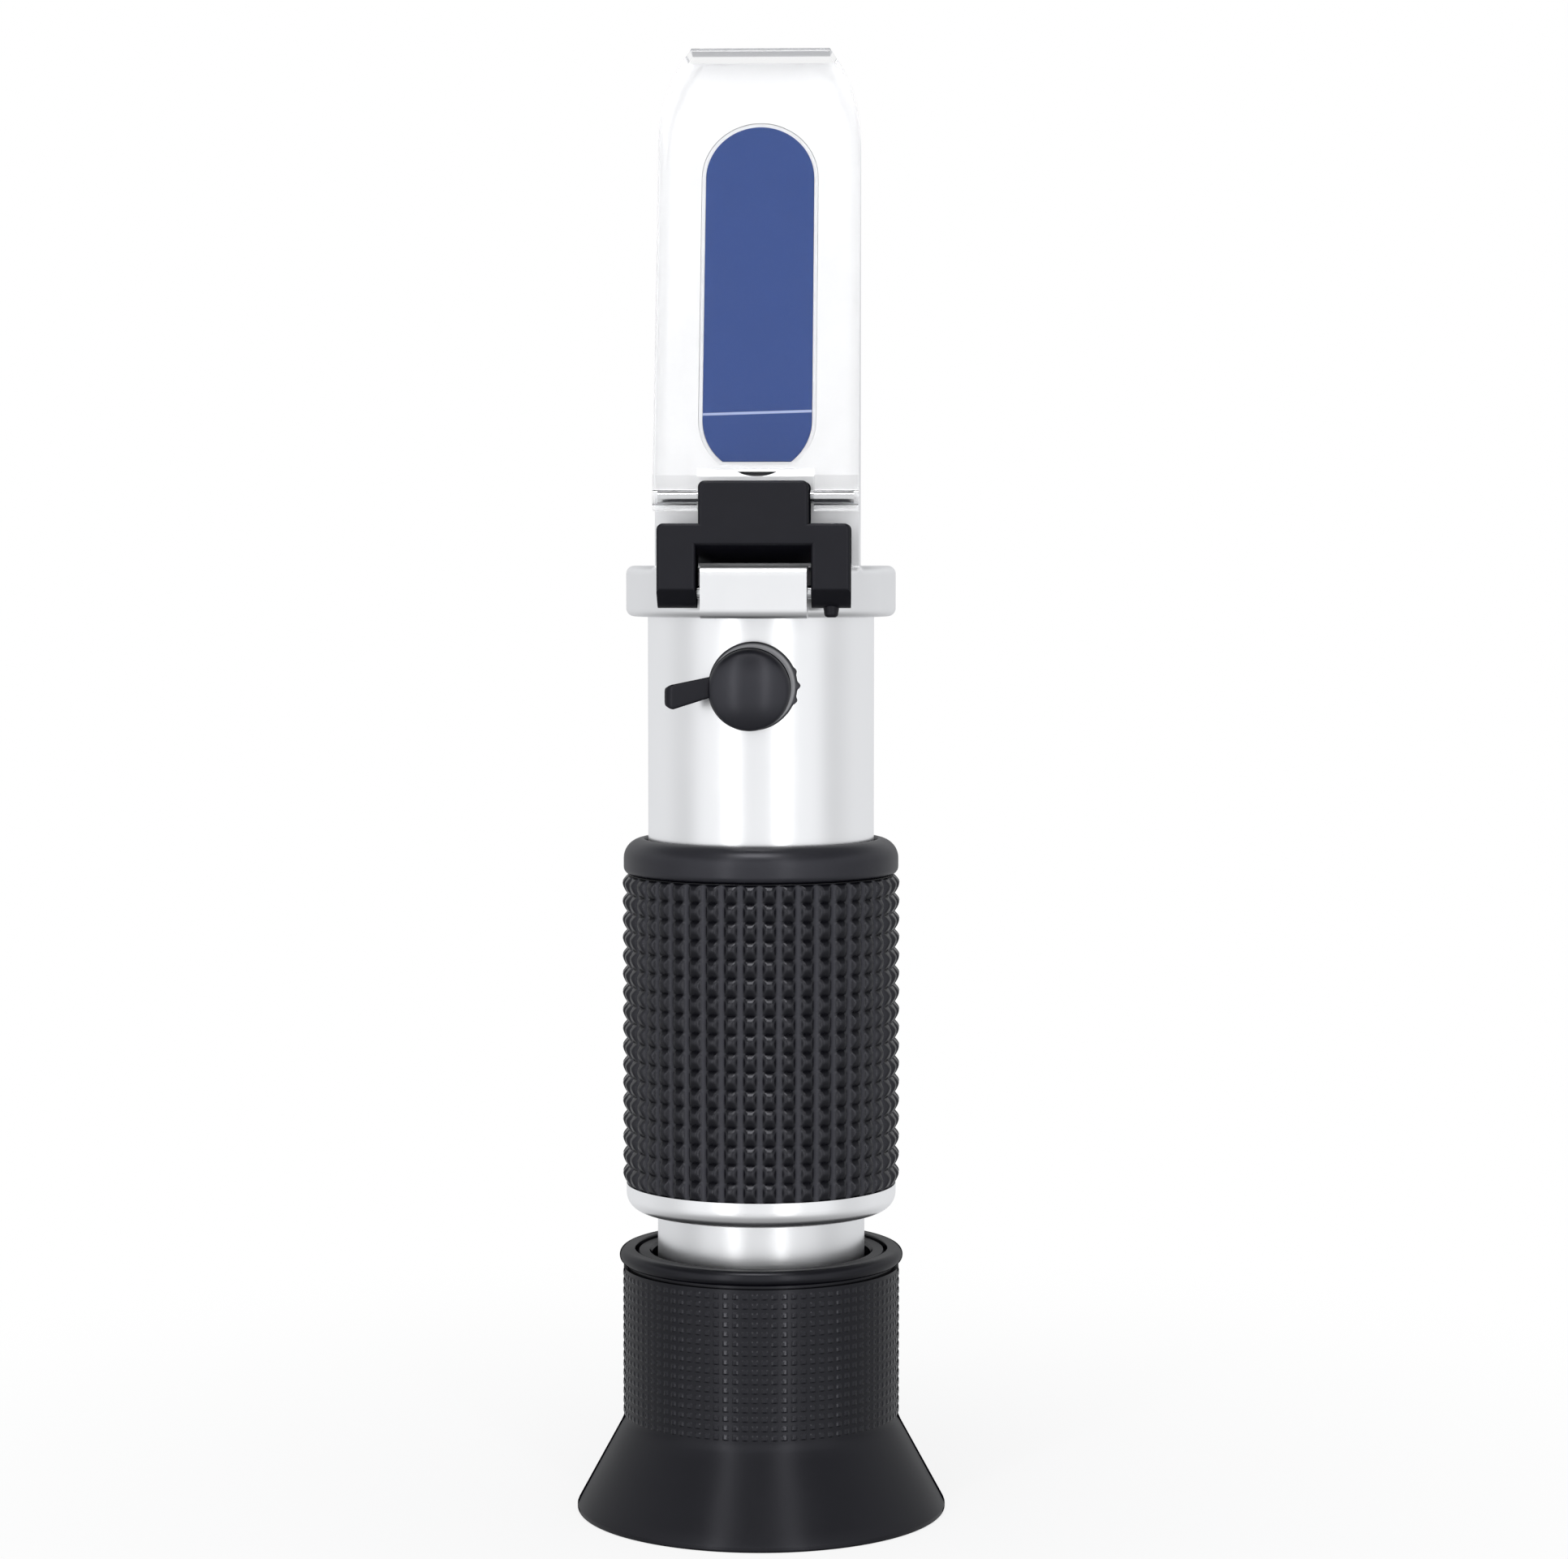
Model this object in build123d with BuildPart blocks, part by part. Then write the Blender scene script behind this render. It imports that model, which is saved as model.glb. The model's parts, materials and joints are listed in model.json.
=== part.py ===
from build123d import *
import math
import os

# Hand-held brix refractometer, standing on its rubber eyecup.
# Millimetres, +Z up along the tube, -Y towards the measuring face.

# Clearances
RUN_CLEAR = 0.05          # radial, of a running fit
SEAT_CLEAR = 0.03         # radial, of a screwed or glued seat
SOFT_CLEAR = 0.1          # rubber over metal
AXIAL_CLEAR = 0.1         # between faces that turn past each other
SWING_CLEAR = 0.3         # between pieces that swing past each other

# Eyecup and eyepiece
EYECUP_HEIGHT = 29.6
FLARE_R = 20.7
FLARE_EDGE = 0.6          # height of the upright edge at the foot
FLARE_WALL = 1.15
CONE_HEIGHT = 10.4
CUP_DEPTH = 8.7
CUP_LIP = 0.8
SLEEVE_WALL = 1.35
BEAD_STEP = 0.45          # how far the rim's bead stands proud of the sleeve
BEAD_HEIGHT = 2.6
BEAD_GROOVE = 0.4
SHELL_WALL = 1.75
SHELL_END_WALL = 2.0
SHELL_RECESS = 0.3        # of the shell's upper edge in the rubber
EYE_APERTURE_R = 6.9
FOCUS_TRAVEL = 1.5        # each way

EYE_LENS_R = 8.0
EYE_LENS_EDGE = 2.4
EYE_LENS_SAG = 1.1
CELL_LENGTH = 13.0
CELL_LIP = 1.0            # height of the lip under the lens
LIP_WIDTH = 0.8           # how far a lip reaches in under its glass
RETAINER_HEIGHT = 1.6

# Draw tube
DRAW_R = 11.6
DRAW_WALL = 1.0
DRAW_SHOWS = 4.4          # bare tube between eyecup and grip
DRAW_SOCKET = 9.8         # length inside the main tube
THREAD_HEIGHT = 0.6
THREAD_LENGTH = 9.0
GUIDE_PIN_R = 0.7
GUIDE_DEPTH = 0.85        # depth of the cell's guide slot

# Grip and main tube
SOCKET_WALL = 0.97        # main tube's wall around the draw tube
BORE_LEDGE = 0.5
GRIP_RING_HEIGHT = 2.95
GRIP_RING_STEP = 0.4      # the ring's edge inside the grip's
GRIP_RING_ROUND = 1.9
GRIP_LENGTH = 34.7
GRIP_WALL = 2.8             # up to the tips of the nubs
NUB_ROWS = 17
NUB_HEIGHT = 0.58
GROOVE_WIDTH = 0.4
GROOVE_DEPTH = 0.8
COLLAR_LENGTH = 4.0
COLLAR_WALL = 2.65
COLLAR_ROUND = 2.2
BARREL_SHOWS = 24.75

# Scale glass and field stop
RETICLE_R = 8.0
RETICLE_THICK = 1.5
RETICLE_CELL_HEIGHT = 6.0
STOP_HEIGHT = 1.2
STOP_ABOVE_CELL = 3.5
STOP_APERTURE_R = 6.5

# Objective and its calibration screw
CAL_ABOVE_COLLAR = 17.4
CARRIER_SIDE_GAP = 0.6    # all round, so that it can shift sideways
CARRIER_BELOW = 7.2       # below the screw's axis
CARRIER_ABOVE = 2.6
OBJECTIVE_R = 7.0
OBJECTIVE_EDGE = 2.2
OBJECTIVE_SAG = 0.7
SCREW_HEAD_R = 1.85
SCREW_HEAD_LENGTH = 1.4
SCREW_SHANK_R = 1.2
SCREW_SLOT = 0.5
SCREW_SLOT_DEPTH = 0.6
SCREW_END_DEPTH = 2.5     # how deep the shank reaches into the carrier
BUSHING_WALL = 0.6
BUSHING_PROUD = 2.4       # beyond the barrel
BUSHING_FLOOR = 2.3       # below the screw's head
STRIP_WIDTH = 4.0
STRIP_THICK = 0.3
STRIP_LENGTH = 24.0
STRIP_GAP = 0.4           # to the bore and to the carrier
RIVET_R = 0.8
RIVET_HEAD_R = 1.5
RIVET_HEAD = 0.6
RIVET_PITCH = 5.0
RIVET_EDGE = 2.5

# Rubber cap of the screw
CAP_R = 4.45
CAP_HEIGHT = 3.3
CAP_ROUND = 2.6
CAP_WALL = 1.15
CAP_TOP_WALL = 1.2
CAP_BASE_R = 4.8
CAP_BASE_PROUD = 1.3      # beyond the barrel's front
STRAP_WIDTH = 2.35
STRAP_THICK = 0.9
STRAP_GAP = 0.15          # half the gap between its two leaves
STRAP_REACH = 8.8         # from the screw's axis to the fold
FOLD_R = 0.75

# Head casting
FLANGE_HEIGHT = 5.6
FLANGE_WALL = 2.37
FLANGE_ROUND = 0.9
TUBE_SOCKET = 3.2
SEAL_THICK = 0.6
HEAD_HALF = 11.1
HEAD_LENGTH = 55.5
HEAD_FOOT = 9.7           # upright part below the slanted face
HEAD_FRONT = 9.9
FACE_ANGLE = 15.0
BACK_ROUND = 8.0
SHOULDER_LENGTH = 9.9     # of the rounded shoulders, below the head's tip
SHOULDER_R = 19.0
LIGHT_R = 7.5
LIGHT_ABOVE = 9.0         # height of the light's way above the flange
DRAIN_WIDTH = 4.4         # small hollow that drains the face's foot
DRAIN_HEIGHT = 0.55
DRAIN_DEPTH = 0.8
LOCK_SCREW_R = 1.0
LOCK_SCREW_HEX = 0.45
LOCK_SCREW_RECESS = 0.3
LOCK_SCREW_ANGLES = (30, 90, 150)

# Measuring prism
WINDOW_R = 5.95
WINDOW_LOW = 1.55         # from the face's foot, along the face
WINDOW_LENGTH = 38.35
WINDOW_CHORD = 4.65       # from the lower arc's centre down to the flat end
PRISM_BACK = 2.5          # the prism's upright back, behind the tube's axis
BACKING_THICK = 0.8
CEMENT_WIDTH = 0.45
CEMENT_DEPTH = 0.6
CEMENT_RECESS = 0.1

# Hinge, clip and daylight plate
LUG_HALF = 5.7
LUG_REACH = 2.8           # from the pin forward to the lug's flat front
LUG_ROUND = 1.0
HINGE_PIN_R = 0.75
HINGE_PIN_END = 0.4       # pin ends inside the clip's sides
LEG_R = 1.7
LEG_FRONT = 0.3           # from the pin up to where the leg's flat front starts
LEG_WIDTH = 4.2
LEG_GAP = 0.45
YOKE_HEIGHT = 4.25
YOKE_DEPTH = 5.5
YOKE_UNDERCUT = 2.0       # how much higher the yoke's underside is at its front
BLOCK_HALF = 5.9
BLOCK_HEIGHT = 4.55
BLOCK_BEHIND = 1.5        # of the block behind the plate's pin
CLIP_ROUND = 0.7
CLIP_FRONT_ROUND = 0.4
GATE_NUB_R = 0.7          # moulding nub under one leg
GATE_NUB_HEIGHT = 1.0
GATE_NUB_ROUND = 0.4
PLATE_THICK = 3.0
PLATE_GAP = 0.15
PLATE_TIP = 0.7           # how far the plate reaches past the head's tip, along the face
PLATE_PIN_R = 0.7
PLATE_PIN_DROP = 2.8      # from the face's foot down to the pin, along the face
PLATE_PIN_END = 0.5
NOTCH_GAP = 0.4           # either side of the clip's block
NOTCH_ABOVE = 1.4         # above the clip's block

# Heights along the tube
ring_z = EYECUP_HEIGHT + DRAW_SHOWS
grip_z = ring_z + GRIP_RING_HEIGHT
collar_z = grip_z + GRIP_LENGTH
collar_top = collar_z + COLLAR_LENGTH
flange_z = collar_top + BARREL_SHOWS
flange_top = flange_z + FLANGE_HEIGHT
face_z = flange_top + HEAD_FOOT
head_top = flange_top + HEAD_LENGTH
draw_top = grip_z + DRAW_SOCKET
tube_top = flange_z + TUBE_SOCKET
seal_top = tube_top + SEAL_THICK
cal_z = collar_top + CAL_ABOVE_COLLAR

# Radii that follow from one another
thread_r = DRAW_R + THREAD_HEIGHT
shell_in = thread_r + RUN_CLEAR
shell_r = shell_in + SHELL_WALL
sleeve_in = shell_r + SOFT_CLEAR
sleeve_r = sleeve_in + SLEEVE_WALL
draw_in = DRAW_R - DRAW_WALL
cell_r = draw_in - RUN_CLEAR
bore_r = DRAW_R - BORE_LEDGE
barrel_r = DRAW_R + SEAT_CLEAR + SOCKET_WALL
grip_in = barrel_r + SOFT_CLEAR
grip_r = grip_in + GRIP_WALL
collar_r = grip_in + COLLAR_WALL
grip_ring_r = grip_r - GRIP_RING_STEP
flange_r = barrel_r + SEAT_CLEAR + FLANGE_WALL
insert_r = bore_r - SEAT_CLEAR
carrier_r = bore_r - CARRIER_SIDE_GAP

shell_z = CUP_DEPTH + CUP_LIP + SOFT_CLEAR
shell_top = EYECUP_HEIGHT - SHELL_RECESS
cell_z = shell_z + SHELL_END_WALL + AXIAL_CLEAR
draw_z = shell_z + SHELL_END_WALL + FOCUS_TRAVEL + SWING_CLEAR

bushing_r = SCREW_HEAD_R + RUN_CLEAR + BUSHING_WALL
bushing_front = barrel_r + BUSHING_PROUD
cap_base_front = barrel_r + CAP_BASE_PROUD
fold_depth = cap_base_front - STRAP_GAP + SOFT_CLEAR
cap_back = cap_base_front + SWING_CLEAR

# The slanted face: its foot is at the front of the head, and it leans back as it rises
face = Plane(
    origin=(0, -HEAD_FRONT, face_z),
    x_dir=(1, 0, 0),
    z_dir=(0, -math.cos(math.radians(FACE_ANGLE)), math.sin(math.radians(FACE_ANGLE))),
)
face_length = (head_top - face_z) / math.cos(math.radians(FACE_ANGLE))
plate_length = face_length + PLATE_TIP
plate_shoulder = face_length - SHOULDER_LENGTH / math.cos(math.radians(FACE_ANGLE))
plate_pin = face.from_local_coords(Vector(0, -PLATE_PIN_DROP, PLATE_GAP + PLATE_THICK / 2))

# The hinge stands just in front of the flange
hinge_y = -(math.sqrt(flange_r**2 - (LUG_HALF + LEG_GAP)**2) + SWING_CLEAR + LEG_R)
hinge_z = flange_z + FLANGE_HEIGHT / 2
leg_in = LUG_HALF + LEG_GAP
leg_out = leg_in + LEG_WIDTH
yoke_z = flange_top + SWING_CLEAR
yoke_top = yoke_z + YOKE_HEIGHT
yoke_front = hinge_y - LUG_REACH
block_top = yoke_top + BLOCK_HEIGHT
block_back = plate_pin.Y + BLOCK_BEHIND

os.makedirs("parts", exist_ok=True)


def turn(*points):
    """Adds a solid turned about the tube's axis, from points of (radius, height)."""
    with BuildSketch(Plane.XZ) as profile:
        with BuildLine():
            Polyline(*points, close=True)
        make_face()
    revolve(profile.sketch, axis=Axis.Z)


def ring(outer, inner, low, high, mode=Mode.ADD):
    """Adds a plain ring around the tube's axis."""
    with BuildSketch(Plane.XY.offset(low)) as profile:
        Circle(outer)
        Circle(inner, mode=Mode.SUBTRACT)
    extrude(profile.sketch, amount=high - low, mode=mode)


def lens(radius, low, edge, sag):
    """Adds a glass disc, equally curved on both sides inside a flat rim."""
    clear = radius - LIP_WIDTH
    curve_r = (clear**2 + sag**2) / (2 * sag)
    half_rise = curve_r - math.sqrt(curve_r**2 - clear**2 / 4)
    high = low + edge + 2 * sag
    with BuildSketch(Plane.XZ) as profile:
        with BuildLine():
            ThreePointArc((0, low), (clear / 2, low + half_rise), (clear, low + sag))
            Polyline((clear, low + sag), (radius, low + sag), (radius, high - sag), (clear, high - sag))
            ThreePointArc((clear, high - sag), (clear / 2, high - half_rise), (0, high))
            Line((0, high), (0, low))
        make_face()
    revolve(profile.sketch, axis=Axis.Z)


def across(radius, depth, length, height=cal_z, mode=Mode.ADD):
    """Adds a round bar along -Y at the screw's height, from a depth in front of the axis."""
    with BuildSketch(Plane.XZ.offset(depth)) as profile:
        with Locations((0, height)):
            Circle(radius)
    extrude(profile.sketch, amount=length, mode=mode)


def sideways(radius, y, z, half, mode=Mode.ADD):
    """Adds a round bar along X, reaching as far on both sides."""
    with BuildSketch(Plane.YZ) as profile:
        with Locations((y, z)):
            Circle(radius)
    extrude(profile.sketch, amount=half, both=True, mode=mode)


def shoulders(half, low, start, high):
    """Draws an outline with upright sides that round in to a narrower straight tip."""
    angle = math.asin((high - start) / SHOULDER_R)
    mid_x = half - SHOULDER_R * (1 - math.cos(angle / 2))
    mid_y = start + SHOULDER_R * math.sin(angle / 2)
    tip = half - SHOULDER_R * (1 - math.cos(angle))
    Polyline((-half, start), (-half, low), (half, low), (half, start))
    ThreePointArc((half, start), (mid_x, mid_y), (tip, high))
    Line((tip, high), (-tip, high))
    ThreePointArc((-tip, high), (-mid_x, mid_y), (-half, start))


def window_outline(grow):
    """Draws the prism's face: a long round-ended shape whose lower end is cut flat."""
    radius = WINDOW_R + grow
    low = WINDOW_LOW - grow
    low_centre = WINDOW_LOW + WINDOW_CHORD
    high_centre = WINDOW_LOW + WINDOW_LENGTH - WINDOW_R
    chord = math.sqrt(radius**2 - (low_centre - low)**2)
    side = math.radians(-30)
    bend = (radius * math.cos(side), low_centre + radius * math.sin(side))
    if bend[1] <= low:
        bend = (math.sqrt(radius**2 - ((low_centre - low) / 2)**2), (low + low_centre) / 2)
    Line((-chord, low), (chord, low))
    ThreePointArc((chord, low), bend, (radius, low_centre))
    Line((radius, low_centre), (radius, high_centre))
    ThreePointArc((radius, high_centre), (0, high_centre + radius), (-radius, high_centre))
    Line((-radius, high_centre), (-radius, low_centre))
    ThreePointArc((-radius, low_centre), (-bend[0], bend[1]), (-chord, low))


def glass_column(grow):
    """Adds the prism's outline carried from the slanted face far into the head."""
    with BuildSketch(face) as outline:
        with BuildLine():
            window_outline(grow)
        make_face()
    extrude(outline.sketch, amount=-4 * WINDOW_R)


# Rubber eyecup: a flared foot that is also the eye shield, and a sleeve with a beaded rim
with BuildPart() as eyecup:
    groove_z = EYECUP_HEIGHT - BEAD_HEIGHT - BEAD_GROOVE
    with BuildSketch(Plane.XZ):
        with BuildLine():
            Polyline(
                (FLARE_R - FLARE_WALL, 0),
                (FLARE_R, 0),
                (FLARE_R, FLARE_EDGE),
                (sleeve_r, CONE_HEIGHT),
                (sleeve_r, groove_z),
                (sleeve_r - BEAD_GROOVE, groove_z),
                (sleeve_r - BEAD_GROOVE, groove_z + BEAD_GROOVE),
            )
            ThreePointArc(
                (sleeve_r - BEAD_GROOVE, groove_z + BEAD_GROOVE),
                (sleeve_r + BEAD_STEP, EYECUP_HEIGHT - BEAD_HEIGHT / 2),
                (sleeve_r - BEAD_GROOVE, EYECUP_HEIGHT),
            )
            Polyline(
                (sleeve_r - BEAD_GROOVE, EYECUP_HEIGHT),
                (sleeve_in, EYECUP_HEIGHT),
                (sleeve_in, CUP_DEPTH + CUP_LIP),
                (sleeve_in - LIP_WIDTH, CUP_DEPTH + CUP_LIP),
                (sleeve_in - LIP_WIDTH, CUP_DEPTH),
                (FLARE_R - FLARE_WALL, 0),
            )
        make_face()
    revolve(axis=Axis.Z)
eyecup.part.label = "eyecup"
export_step(eyecup.part, "parts/eyecup.step")

# Eyepiece shell: the moulded ring that turns on the draw tube's thread
with BuildPart() as eyepiece_shell:
    turn(
        (EYE_APERTURE_R, shell_z),
        (shell_r, shell_z),
        (shell_r, shell_top),
        (shell_in, shell_top),
        (shell_in, shell_z + SHELL_END_WALL),
        (EYE_APERTURE_R, shell_z + SHELL_END_WALL),
    )
    rim = eyepiece_shell.edges().filter_by(GeomType.CIRCLE).group_by(Axis.Z)[-1]
    chamfer(rim, SHELL_RECESS)
    mouth = eyepiece_shell.edges().filter_by(GeomType.CIRCLE).group_by(Axis.Z)[0].sort_by(SortBy.RADIUS)[0]
    chamfer(mouth, SHELL_END_WALL / 2)
eyepiece_shell.part.label = "eyepiece_shell"
export_step(eyepiece_shell.part, "parts/eyepiece_shell.step")

# Eye lens, its sliding cell and the ring that holds it
lens_seat = cell_z + CELL_LIP
lens_top = lens_seat + EYE_LENS_EDGE + 2 * EYE_LENS_SAG
guide_z = draw_z + THREAD_LENGTH / 2 + FOCUS_TRAVEL

with BuildPart() as eye_lens:
    lens(EYE_LENS_R, lens_seat, EYE_LENS_EDGE, EYE_LENS_SAG)
eye_lens.part.label = "eye_lens"
export_step(eye_lens.part, "parts/eye_lens.step")

with BuildPart() as eye_lens_cell:
    turn(
        (EYE_LENS_R - LIP_WIDTH, cell_z),
        (cell_r, cell_z),
        (cell_r, cell_z + CELL_LENGTH),
        (EYE_LENS_R + SEAT_CLEAR, cell_z + CELL_LENGTH),
        (EYE_LENS_R + SEAT_CLEAR, lens_seat + EYE_LENS_SAG),
        (EYE_LENS_R - LIP_WIDTH, lens_seat + EYE_LENS_SAG),
    )
    with BuildSketch(Plane.XZ.offset(-(cell_r + SWING_CLEAR))):
        with Locations((0, guide_z)):
            slot_reach = 2 * (FOCUS_TRAVEL + SWING_CLEAR + GUIDE_PIN_R + RUN_CLEAR)
            SlotOverall(slot_reach, 2 * (GUIDE_PIN_R + RUN_CLEAR), rotation=90)
    extrude(amount=SWING_CLEAR + GUIDE_DEPTH, mode=Mode.SUBTRACT)
eye_lens_cell.part.label = "eye_lens_cell"
export_step(eye_lens_cell.part, "parts/eye_lens_cell.step")

with BuildPart() as eye_lens_retainer:
    retainer_z = lens_top - EYE_LENS_SAG
    ring(EYE_LENS_R, EYE_LENS_R - LIP_WIDTH, retainer_z, retainer_z + RETAINER_HEIGHT)
eye_lens_retainer.part.label = "eye_lens_retainer"
export_step(eye_lens_retainer.part, "parts/eye_lens_retainer.step")

# Draw tube: bare between eyecup and grip, with the focusing thread at its lower end
with BuildPart() as draw_tube:
    turn(
        (draw_in, draw_z),
        (DRAW_R, draw_z),
        (thread_r, draw_z + THREAD_HEIGHT),
        (thread_r, draw_z + THREAD_LENGTH),
        (DRAW_R, draw_z + THREAD_LENGTH + THREAD_HEIGHT),
        (DRAW_R, draw_top),
        (draw_in, draw_top),
    )
    across(GUIDE_PIN_R + SEAT_CLEAR, -thread_r, DRAW_R / 2, guide_z, Mode.SUBTRACT)
draw_tube.part.label = "draw_tube"
export_step(draw_tube.part, "parts/draw_tube.step")

# Guide pin: stands in the draw tube and keeps the lens cell from turning
with BuildPart() as focus_guide_pin:
    across(GUIDE_PIN_R, -(DRAW_R - SEAT_CLEAR), DRAW_WALL + GUIDE_DEPTH - AXIAL_CLEAR, guide_z)
focus_guide_pin.part.label = "focus_guide_pin"
export_step(focus_guide_pin.part, "parts/focus_guide_pin.step")

# Metal ring that closes the grip's lower end
with BuildPart() as grip_end_ring:
    ring(grip_ring_r, DRAW_R + SEAT_CLEAR, ring_z, grip_z)
    foot = grip_end_ring.edges().filter_by(GeomType.CIRCLE).group_by(Axis.Z)[0].sort_by(SortBy.RADIUS)[-1]
    fillet(foot, GRIP_RING_ROUND)
grip_end_ring.part.label = "grip_end_ring"
export_step(grip_end_ring.part, "parts/grip_end_ring.step")

# Main tube, stepped for the draw tube and bored for the calibration bushing
strip_top = cal_z - CARRIER_BELOW - STRIP_GAP
strip_z = strip_top - STRIP_LENGTH
strip_y = math.sqrt(bore_r**2 - (STRIP_WIDTH / 2)**2) - STRIP_GAP
rivet_heights = (strip_z + RIVET_EDGE, strip_z + RIVET_EDGE + RIVET_PITCH)

with BuildPart() as main_tube:
    turn(
        (DRAW_R + SEAT_CLEAR, grip_z),
        (barrel_r, grip_z),
        (barrel_r, tube_top),
        (bore_r, tube_top),
        (bore_r, draw_top),
        (DRAW_R + SEAT_CLEAR, draw_top),
    )
    across(bushing_r + SEAT_CLEAR, 0, barrel_r, cal_z, Mode.SUBTRACT)
    for height in rivet_heights:
        across(RIVET_R + SEAT_CLEAR, -barrel_r, barrel_r / 2, height, Mode.SUBTRACT)
main_tube.part.label = "main_tube"
export_step(main_tube.part, "parts/main_tube.step")

# Rubber grip: rows of nubs as pointed rings below, the smooth collar above a groove
nub_pitch = (GRIP_LENGTH - GROOVE_WIDTH) / NUB_ROWS
nub_points = []
for row in range(NUB_ROWS):
    nub_points.append((grip_r - NUB_HEIGHT, grip_z + row * nub_pitch))
    nub_points.append((grip_r, grip_z + (row + 0.5) * nub_pitch))

with BuildPart() as grip_sleeve:
    turn(
        (grip_in, grip_z),
        *nub_points,
        (grip_r - GROOVE_DEPTH, collar_z - GROOVE_WIDTH),
        (grip_r - GROOVE_DEPTH, collar_z),
        (collar_r, collar_z),
        (collar_r, collar_top),
        (grip_in, collar_top),
    )
    crown = grip_sleeve.edges().filter_by(GeomType.CIRCLE).group_by(Axis.Z)[-1].sort_by(SortBy.RADIUS)[-1]
    fillet(crown, COLLAR_ROUND)
grip_sleeve.part.label = "grip_sleeve"
export_step(grip_sleeve.part, "parts/grip_sleeve.step")

# Scale glass in its cell, just above the draw tube
glass_z = draw_top + CELL_LIP
glass_top = glass_z + RETICLE_THICK
reticle_top = draw_top + RETICLE_CELL_HEIGHT

with BuildPart() as reticle_cell:
    turn(
        (RETICLE_R - LIP_WIDTH, draw_top),
        (insert_r, draw_top),
        (insert_r, reticle_top),
        (RETICLE_R + SEAT_CLEAR, reticle_top),
        (RETICLE_R + SEAT_CLEAR, glass_z),
        (RETICLE_R - LIP_WIDTH, glass_z),
    )
reticle_cell.part.label = "reticle_cell"
export_step(reticle_cell.part, "parts/reticle_cell.step")

with BuildPart() as reticle_glass:
    with BuildSketch(Plane.XY.offset(glass_z)):
        Circle(RETICLE_R)
    extrude(amount=RETICLE_THICK)
reticle_glass.part.label = "reticle_glass"
export_step(reticle_glass.part, "parts/reticle_glass.step")

with BuildPart() as reticle_lock_ring:
    ring(RETICLE_R, RETICLE_R - LIP_WIDTH, glass_top, glass_top + RETAINER_HEIGHT)
reticle_lock_ring.part.label = "reticle_lock_ring"
export_step(reticle_lock_ring.part, "parts/reticle_lock_ring.step")

# Field stop: a blackened ring that keeps stray light off the scale
with BuildPart() as field_stop:
    stop_z = reticle_top + STOP_ABOVE_CELL
    ring(insert_r, STOP_APERTURE_R, stop_z, stop_z + STOP_HEIGHT)
field_stop.part.label = "field_stop"
export_step(field_stop.part, "parts/field_stop.step")

# Objective: the screw shifts its carrier sideways, which sets the zero of the scale
carrier_z = cal_z - CARRIER_BELOW
carrier_top = cal_z + CARRIER_ABOVE
objective_z = carrier_z + CELL_LIP
objective_top = objective_z + OBJECTIVE_EDGE + 2 * OBJECTIVE_SAG

with BuildPart() as objective_carrier:
    turn(
        (OBJECTIVE_R - LIP_WIDTH, carrier_z),
        (carrier_r, carrier_z),
        (carrier_r, carrier_top),
        (OBJECTIVE_R + SEAT_CLEAR, carrier_top),
        (OBJECTIVE_R + SEAT_CLEAR, objective_z + OBJECTIVE_SAG),
        (OBJECTIVE_R - LIP_WIDTH, objective_z + OBJECTIVE_SAG),
    )
    across(SCREW_SHANK_R + RUN_CLEAR, 0, bore_r, cal_z, Mode.SUBTRACT)
objective_carrier.part.label = "objective_carrier"
export_step(objective_carrier.part, "parts/objective_carrier.step")

with BuildPart() as objective_lens:
    lens(OBJECTIVE_R, objective_z, OBJECTIVE_EDGE, OBJECTIVE_SAG)
objective_lens.part.label = "objective_lens"
export_step(objective_lens.part, "parts/objective_lens.step")

with BuildPart() as objective_retainer:
    hold_z = objective_top - OBJECTIVE_SAG
    ring(OBJECTIVE_R, OBJECTIVE_R - LIP_WIDTH, hold_z, hold_z + CELL_LIP)
objective_retainer.part.label = "objective_retainer"
export_step(objective_retainer.part, "parts/objective_retainer.step")

# Bimetal strip: bends with temperature behind the objective's carrier
with BuildPart() as bimetal_strip:
    with BuildSketch(Plane.XZ.offset(-strip_y)):
        with Locations((0, strip_z + STRIP_LENGTH / 2)):
            RectangleRounded(STRIP_WIDTH, STRIP_LENGTH, STRIP_WIDTH / 5)
    extrude(amount=STRIP_THICK)
    for height in rivet_heights:
        across(RIVET_R + SEAT_CLEAR, -barrel_r, barrel_r / 2, height, Mode.SUBTRACT)
bimetal_strip.part.label = "bimetal_strip"
export_step(bimetal_strip.part, "parts/bimetal_strip.step")

with BuildPart() as bimetal_rivets:
    for height in rivet_heights:
        across(RIVET_R, -(barrel_r - SEAT_CLEAR), barrel_r - SEAT_CLEAR - strip_y + STRIP_THICK, height)
        across(RIVET_HEAD_R, -(strip_y - STRIP_THICK), RIVET_HEAD, height)
bimetal_rivets.part.label = "bimetal_rivets"
export_step(bimetal_rivets.part, "parts/bimetal_rivets.step")

# Calibration bushing and screw, on the front of the barrel
head_back = bushing_front - SCREW_HEAD_LENGTH - AXIAL_CLEAR

with BuildPart() as calibration_bushing:
    across(bushing_r, head_back - BUSHING_FLOOR, bushing_front - head_back + BUSHING_FLOOR)
    across(SCREW_HEAD_R + RUN_CLEAR, head_back - AXIAL_CLEAR, barrel_r, cal_z, Mode.SUBTRACT)
    across(SCREW_SHANK_R + RUN_CLEAR, 0, bushing_front, cal_z, Mode.SUBTRACT)
calibration_bushing.part.label = "calibration_bushing"
export_step(calibration_bushing.part, "parts/calibration_bushing.step")

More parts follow.
